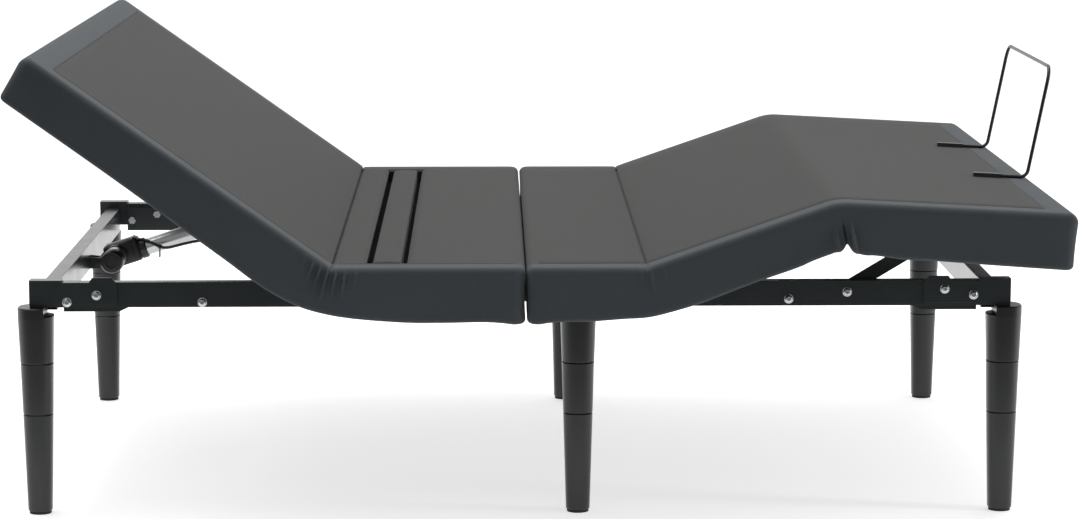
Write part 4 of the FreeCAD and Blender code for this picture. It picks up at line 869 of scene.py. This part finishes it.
# %% Legs
LEG_SQUARENESS = 2.6
LEG_TAPER = (0.0335 - 0.0225) / (0.393 - 0.006)    # change of radius over the moulded height
SEAM_BEVEL = 0.0008                           # rounding of the lips beside a groove
LIP = 0.0012                                  # height of a lip
HOLLOW = 0.0045                               # how far in the flat end face starts
TOP_STEP = 0.016                              # height of the step at the top of a leg
STEP_EDGE = 0.018                             # leg's middle to the edge of the step


def moulding(low, high, low_radius, high_radius):
    """A leg segment's profile with rounded lips where it meets the next."""
    slope = (high_radius - low_radius) / (high - low)
    body = [(low_radius + slope * (z - low), z, 0) for z in np.linspace(low + 0.004, high - 0.004, 7)]
    bottom = [(low_radius - HOLLOW, low, 0), (low_radius - SEAM_BEVEL, low, 0), (low_radius, low + LIP, 0)]
    top = [(high_radius, high - LIP, 0), (high_radius - SEAM_BEVEL, high, 0), (high_radius - HOLLOW, high, 0)]
    return bottom + body + top


for node, piece_name in (("lower_leg_segments", "leg_bottoms"), ("middle_leg_segments", "leg_middles"),
                         ("upper_leg_segments", "leg_tops")):
    parts = []
    for low, high in solids_of(node):
        centre = Matrix.Translation(((low[0] + high[0]) / 2, (low[1] + high[1]) / 2, 0))
        high_radius = (high[1] - low[1]) / 2
        low_radius = high_radius - LEG_TAPER * (high[2] - low[2])
        top = high[2] - (TOP_STEP if node == "upper_leg_segments" else 0)
        turned = revolved(moulding(float(low[2]), float(top), low_radius, high_radius), 48, LEG_SQUARENESS)
        parts.append((*turned, centre))
        if node == "upper_leg_segments":
            # the raised half of the top, on the side away from the middle of its own half frame
            way = -1 if centre.translation.x < GAP else 1
            ring = [p for p in turned[0] if abs(p.z - (top - LIP)) < 1e-6 and p.x * way > -STEP_EDGE]
            ring.sort(key=lambda p: math.atan2(p.y, p.x * way))
            levels = ((top - 0.004, 1.0), (float(high[2]) - 0.0015, 1.0), (float(high[2]), 0.96))
            raised = [Vector((p.x * shrink, p.y * shrink, z)) for z, shrink in levels for p in ring]
            walls = loft_faces(len(levels), len(ring))
            parts.append((raised, walls, [0] * len(walls), centre))
    piece = gathered(piece_name, parts, [LEG_ABS], crisp_deg=30)
    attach(piece, "base")
    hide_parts(node)
    print(piece_name, len(parts), "solids")

# %% [markdown]
# ## Bolts
# Flanged button-head bolts with a hexagon socket hold the frame. A turned profile makes the
# flange, the low dome and a socket, and the socket's last rings are given six sides. Behind each
# head a plain shank goes through the rail to a hexagon nut.

# %% Bolts


def button_head(radius, height):
    """Points, faces and finishes of a bolt head along +Z, with a hexagonal socket."""
    outer = [(radius, 0.0), (radius, 0.0012), (radius * 0.82, 0.0018), (radius * 0.8, height * 0.55),
             (radius * 0.66, height * 0.86), (radius * 0.48, height)]
    points, sides = [], 36
    rings = [("round", r, z) for r, z in outer]
    rings += [("hex", radius * 0.40, height), ("hex", radius * 0.37, height * 0.35)]
    for kind, r, z in rings:
        for step in range(sides):
            turn = 2 * math.pi * step / sides
            sector = (turn + math.pi / 6) % (math.pi / 3) - math.pi / 6
            reach = r * math.cos(math.pi / 6) / math.cos(sector) if kind == "hex" else r
            points.append(Vector((reach * math.cos(turn), reach * math.sin(turn), z)))
    faces = loft_faces(len(rings), sides)
    return points, faces, [0] * len(faces)


HEAD_RADIUS, HEAD_HEIGHT, SHANK_RADIUS, NUT_RADIUS = 0.0088, 0.0055, 0.005, 0.0088
bolt_parts = []
for low, high in solids_of("frame_bolts"):
    hand = 1 if low[1] > 0 else -1
    x, z = (low[0] + high[0]) / 2, (low[2] + high[2]) / 2
    face = max(abs(low[1]), abs(high[1])) - 0.005
    turn = Matrix.Rotation(-hand * math.pi / 2, 4, "X")
    bolt_head = button_head(HEAD_RADIUS, HEAD_HEIGHT)
    bolt_parts.append((*bolt_head, Matrix.Translation((x, hand * face, z)) @ turn))
    inner = min(abs(low[1]), abs(high[1]))
    shank = revolved([(SHANK_RADIUS - 0.0005, 0, 0), (SHANK_RADIUS, 0.0008, 0),
                      (SHANK_RADIUS, face - inner - 0.0002, 0)], 20)
    bolt_parts.append((*shank, Matrix.Translation((x, hand * inner, z)) @ turn))
    nut = revolved([(NUT_RADIUS - 0.001, 0, 0), (NUT_RADIUS, 0.001, 0), (NUT_RADIUS, 0.006, 0),
                    (NUT_RADIUS - 0.001, 0.007, 0)], 6)
    bolt_parts.append((*nut, Matrix.Translation((x, hand * (inner - 0.002), z)) @ turn))
bolts = gathered("button_head_bolts", bolt_parts, [ZINC], crisp_deg=30)
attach(bolts, "base")
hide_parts("frame_bolts")

# %% [markdown]
# ## Lift actuators
# Each section is raised by a linear actuator: a black moulded gear housing with ribs and screws,
# a motor lying across it under a black end cap, and a pale aluminium tube that the chromed rod
# slides in. They are built along +X from the rear pin and then turned to their slant.

# %% Lift actuators


def rounded_block(low, high, radius):
    """Points, faces and finishes of a block with rounded edges."""
    form = bmesh.new()
    bmesh.ops.create_cube(form, size=1)
    size, middle = Vector(high) - Vector(low), (Vector(high) + Vector(low)) / 2
    for vertex in form.verts:
        vertex.co = Vector([c * s for c, s in zip(vertex.co, size)]) + middle
    bmesh.ops.bevel(form, geom=list(form.edges), offset=radius, segments=3, affect="EDGES", profile=0.5)
    form.verts.ensure_lookup_table()
    form.verts.index_update()
    points = [vertex.co.copy() for vertex in form.verts]
    faces = [[vertex.index for vertex in face.verts] for face in form.faces]
    form.free()
    return points, faces, [0] * len(faces)


ALONG_X = Matrix.Rotation(math.pi / 2, 4, "Y")
TOWARDS_MINUS_Y = Matrix.Rotation(math.pi / 2, 4, "X")
GEAR_START, GEAR_LENGTH, GEAR_HALF = 0.018, 0.072, 0.022
GEAR_LOW, GEAR_HIGH = -0.0202, 0.0278
RIB_HALF, RIB_PROUD = 0.0015, 0.0012
MOTOR_ALONG, MOTOR_UP = 0.023, 0.00384        # motor's axis from the start of the gear housing
NOSE_LENGTH = 0.016
for side, tube_end in (("head", 0.262), ("leg", 0.206)):
    swing, slide = JOINTS[side + "_actuator_swing"], JOINTS[side + "_rod_slide"]
    ax, _, az = slide["axis"]
    placed = Matrix.Translation(swing["pos_m"]) @ Matrix.Rotation(-math.atan2(az, ax), 4, "Y")
    gear_end = GEAR_START + GEAR_LENGTH
    # the gear housing, the eye of the rear pin, three ribs round the housing and a lid on top
    blocks = [((GEAR_START, -GEAR_HALF, GEAR_LOW), (gear_end, GEAR_HALF, GEAR_HIGH), 0.006),
              ((-0.011, -0.0098, -0.010), (GEAR_START + 0.002, 0.0098, 0.010), 0.003)]
    blocks += [((x - RIB_HALF, -GEAR_HALF - RIB_PROUD, GEAR_LOW + 0.006),
                (x + RIB_HALF, GEAR_HALF + RIB_PROUD, GEAR_HIGH - 0.006), 0.0008)
               for x in (GEAR_START + shift for shift in (0.022, 0.040, 0.058))]
    blocks += [((GEAR_START + 0.005, -0.014, GEAR_HIGH - 0.001),
                (gear_end - 0.005, 0.014, GEAR_HIGH + RIB_PROUD), 0.0008)]
    parts = [(*rounded_block(*block), placed) for block in blocks]
    for x in (GEAR_START + 0.009, gear_end - 0.009):
        for y in (-0.016, 0.016):
            screw = button_head(0.0032, 0.0018)
            parts.append((screw[0], screw[1], [1] * len(screw[2]),
                          placed @ Matrix.Translation((x, y, GEAR_HIGH - 0.0002))))
    collar = revolved([(0.0195, 0, 0), (0.0205, 0.001, 0), (0.0205, 0.012, 0), (0.018, 0.014, 0)], 40)
    parts.append((*collar, placed @ Matrix.Translation((gear_end - 0.001, 0, 0)) @ ALONG_X))
    run = tube_end - gear_end
    barrel = revolved([(0.0165, 0, 2), (0.0168, 0.002, 2), (0.0168, run - NOSE_LENGTH, 2)], 40)
    parts.append((*barrel, placed @ Matrix.Translation((gear_end, 0, 0)) @ ALONG_X))
    nose = revolved([(0.0165, 0, 0), (0.0182, 0.001, 0), (0.0182, 0.012, 0), (0.0155, 0.0155, 0),
                     (0.0112, NOSE_LENGTH, 0)], 40)
    parts.append((*nose, placed @ Matrix.Translation((tube_end - NOSE_LENGTH, 0, 0)) @ ALONG_X))
    housing = gathered(side + "_actuator_body", parts, [BLACK_ABS, ZINC, ALUMINIUM], crisp_deg=35)
    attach(housing, side + "_actuator")
    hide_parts(side + "_actuator_housing")
    can = [(0.021, 0, 0), (0.0228, 0.001, 0), (0.0228, 0.014, 0), (0.0212, 0.0145, 0), (0.0212, 0.016, 1),
           (0.0212, 0.052, 1), (0.0212, 0.053, 0), (0.0228, 0.054, 0), (0.0230, 0.086, 0),
           (0.0205, 0.0908, 0), (0.012, 0.0915, 0), (0.0115, 0.0895, 0), (0.004, 0.0895, 0)]
    turned = placed @ Matrix.Translation((GEAR_START + MOTOR_ALONG, -GEAR_HALF, MOTOR_UP)) @ TOWARDS_MINUS_Y
    motor = gathered(side + "_actuator_motor_can", [(*revolved(can, 48), turned)], [BLACK_ABS, MOTOR_STEEL])
    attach(motor, side + "_actuator")
    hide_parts(side + "_actuator_motor")

# %% [markdown]
# ## Control box
# The drive's control box is a black moulded case in two halves under the seat board. A shallow
# groove shows where the halves meet, and a row of ribs stands out below to shed heat.

# %% Control box
GROOVE_HALF, GROOVE_DEPTH = 0.0006, 0.002
RIB_COUNT, RIB_PITCH, RIB_START = 9, 0.011, 0.045
low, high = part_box("control_box")
split = (low.z + high.z) / 2
blocks = [((low.x, low.y, low.z), (high.x, high.y, split - GROOVE_HALF), 0.004),
          ((low.x, low.y, split + GROOVE_HALF), (high.x, high.y, high.z), 0.004),
          ((low.x + GROOVE_DEPTH, low.y + GROOVE_DEPTH, split - 0.002),
           (high.x - GROOVE_DEPTH, high.y - GROOVE_DEPTH, split + 0.002), 0.0008)]
for index in range(RIB_COUNT):
    x = low.x + RIB_START + index * RIB_PITCH
    blocks.append(((x - 0.0018, low.y + 0.018, low.z - 0.0016),
                   (x + 0.0018, high.y - 0.018, low.z + 0.002), 0.0008))
box_parts = [(*rounded_block(*block), Matrix.Identity(4)) for block in blocks]
control = gathered("control_box_case", box_parts, [BLACK_ABS])
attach(control, "base")
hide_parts("control_box")

# %% [markdown]
# ## Lumbar slat
# A narrow padded slat lies between two open slots in the seat. It has the same grey fabric as the
# panel, wrapped round a wooden core, so its long edges are round and its top is slightly crowned.

# %% Lumbar slat


def padded_slat(low, high, edge, crown, material):
    """A long block wrapped in fabric, as a loft of rounded, crowned cross-sections."""
    half, middle = (high.x - low.x) / 2, (low.x + high.x) / 2
    shoulder = high.z - crown - edge
    section = [(-half + edge - edge * math.cos(a), shoulder + edge * math.sin(a))
               for a in (math.radians(t) for t in range(0, 91, 15))]
    top = [(x, high.z - crown * (x / (half - edge)) ** 2)
           for x in np.linspace(-half + edge, half - edge, 7)[1:-1]]
    loop = section + top + [(-x, z) for x, z in reversed(section)] + [(half, low.z), (-half, low.z)]
    points, flats = [], []
    spans = [0, 0.0005, 0.0018, 0.004] + list(np.linspace(0.02, high.y - low.y - 0.02, 26)) + \
        [high.y - low.y - back for back in (0.004, 0.0018, 0.0005, 0)]
    for run in spans:
        tuck = 0.004 * falling(min(run, high.y - low.y - run), 0.004)
        for x, z in loop:
            lowered = tuck if z > low.z + 0.01 else 0
            points.append((middle + x * (1 - tuck / half), low.y + run, z - lowered))
            flats.append((x + z, run))
    faces = loft_faces(len(spans), len(loop))
    return piece_from("lumbar_slat_cover", points, faces, material, cloth=flats)


SLAT_EDGE, SLAT_CROWN = 0.004, 0.0012
slat = padded_slat(slat_low, slat_high, SLAT_EDGE, SLAT_CROWN, PANEL_FABRIC)
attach(slat, "base")
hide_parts("lumbar_slat")

# %% [markdown]
# ## Floor and light
# A pale seamless floor and a large soft light overhead, as in a small product studio. The light
# is mostly from above, so the tops are clearly brighter than the sides. The floor glows softly
# under and behind the base, so the shadow stays faint and the far legs and rails stand out. In
# front, floor and surroundings are dim, which keeps the side fabric and the black frame dark, and
# a strip light at the foot end draws a fine highlight along the edges.

# %% Floor and light
floor = piece_from("studio_floor", [(-30, -30, 0), (30, -30, 0), (30, 30, 0), (-30, 30, 0)], [(0, 1, 2, 3)])
floor_paint, tree, shader = new_material("painted_floor_white", 0.8)
shader.inputs["Emission Color"].default_value = linear("#FFFFFF")
spot = add_node(tree, "ShaderNodeTexCoord")
across = add_node(tree, "ShaderNodeSeparateXYZ", Vector=spot.outputs["Object"])
DIM_FLOOR, PALE_FLOOR = -1.9, -0.85           # the floor turns from dim to pale between these
glow = add_node(tree, "ShaderNodeMapRange", From_Min=DIM_FLOOR, From_Max=PALE_FLOOR,
                To_Min=0.0, To_Max=0.62, Value=across.outputs["Y"])
paint = add_node(tree, "ShaderNodeMapRange", From_Min=DIM_FLOOR, From_Max=PALE_FLOOR,
                 To_Min=0.12, To_Max=0.85, Value=across.outputs["Y"])
tree.links.new(glow.outputs["Result"], shader.inputs["Emission Strength"])
tree.links.new(paint.outputs["Result"], shader.inputs["Base Color"])
floor.data.materials.append(floor_paint)

world = bpy.data.worlds.new("studio")
bpy.context.scene.world = world
world.use_nodes = True
sky = world.node_tree
background = sky.nodes["Background"]
direction = add_node(sky, "ShaderNodeTexCoord")
away = add_node(sky, "ShaderNodeSeparateXYZ", Vector=direction.outputs["Generated"])
wall = add_node(sky, "ShaderNodeMapRange", From_Min=0.1, From_Max=0.75, To_Min=0.36, To_Max=1.05,
                Value=away.outputs["Y"])
sky.links.new(wall.outputs["Result"], background.inputs["Strength"])
background.inputs["Color"].default_value = linear("#FFFFFF")


def area_light(name, place, aim, size, power):
    """A rectangular light of this size in metres and power in watts, turned to a point."""
    data = bpy.data.lights.new(name, "AREA")
    data.shape, data.size, data.size_y = "RECTANGLE", size[0], size[1]
    data.energy = power
    made = bpy.data.objects.new(name, data)
    made.location = place
    made.rotation_euler = (Vector(aim) - Vector(place)).to_track_quat("-Z", "Y").to_euler()
    bpy.context.scene.collection.objects.link(made)


area_light("overhead_softbox", (-0.4, 0.3, 4.2), (0, 0, 0.5), (5.5, 4.0), 168)
area_light("side_strip", (4.5, -1.3, 1.4), (0.2, 0, 0.4), (0.6, 2.0), 45)
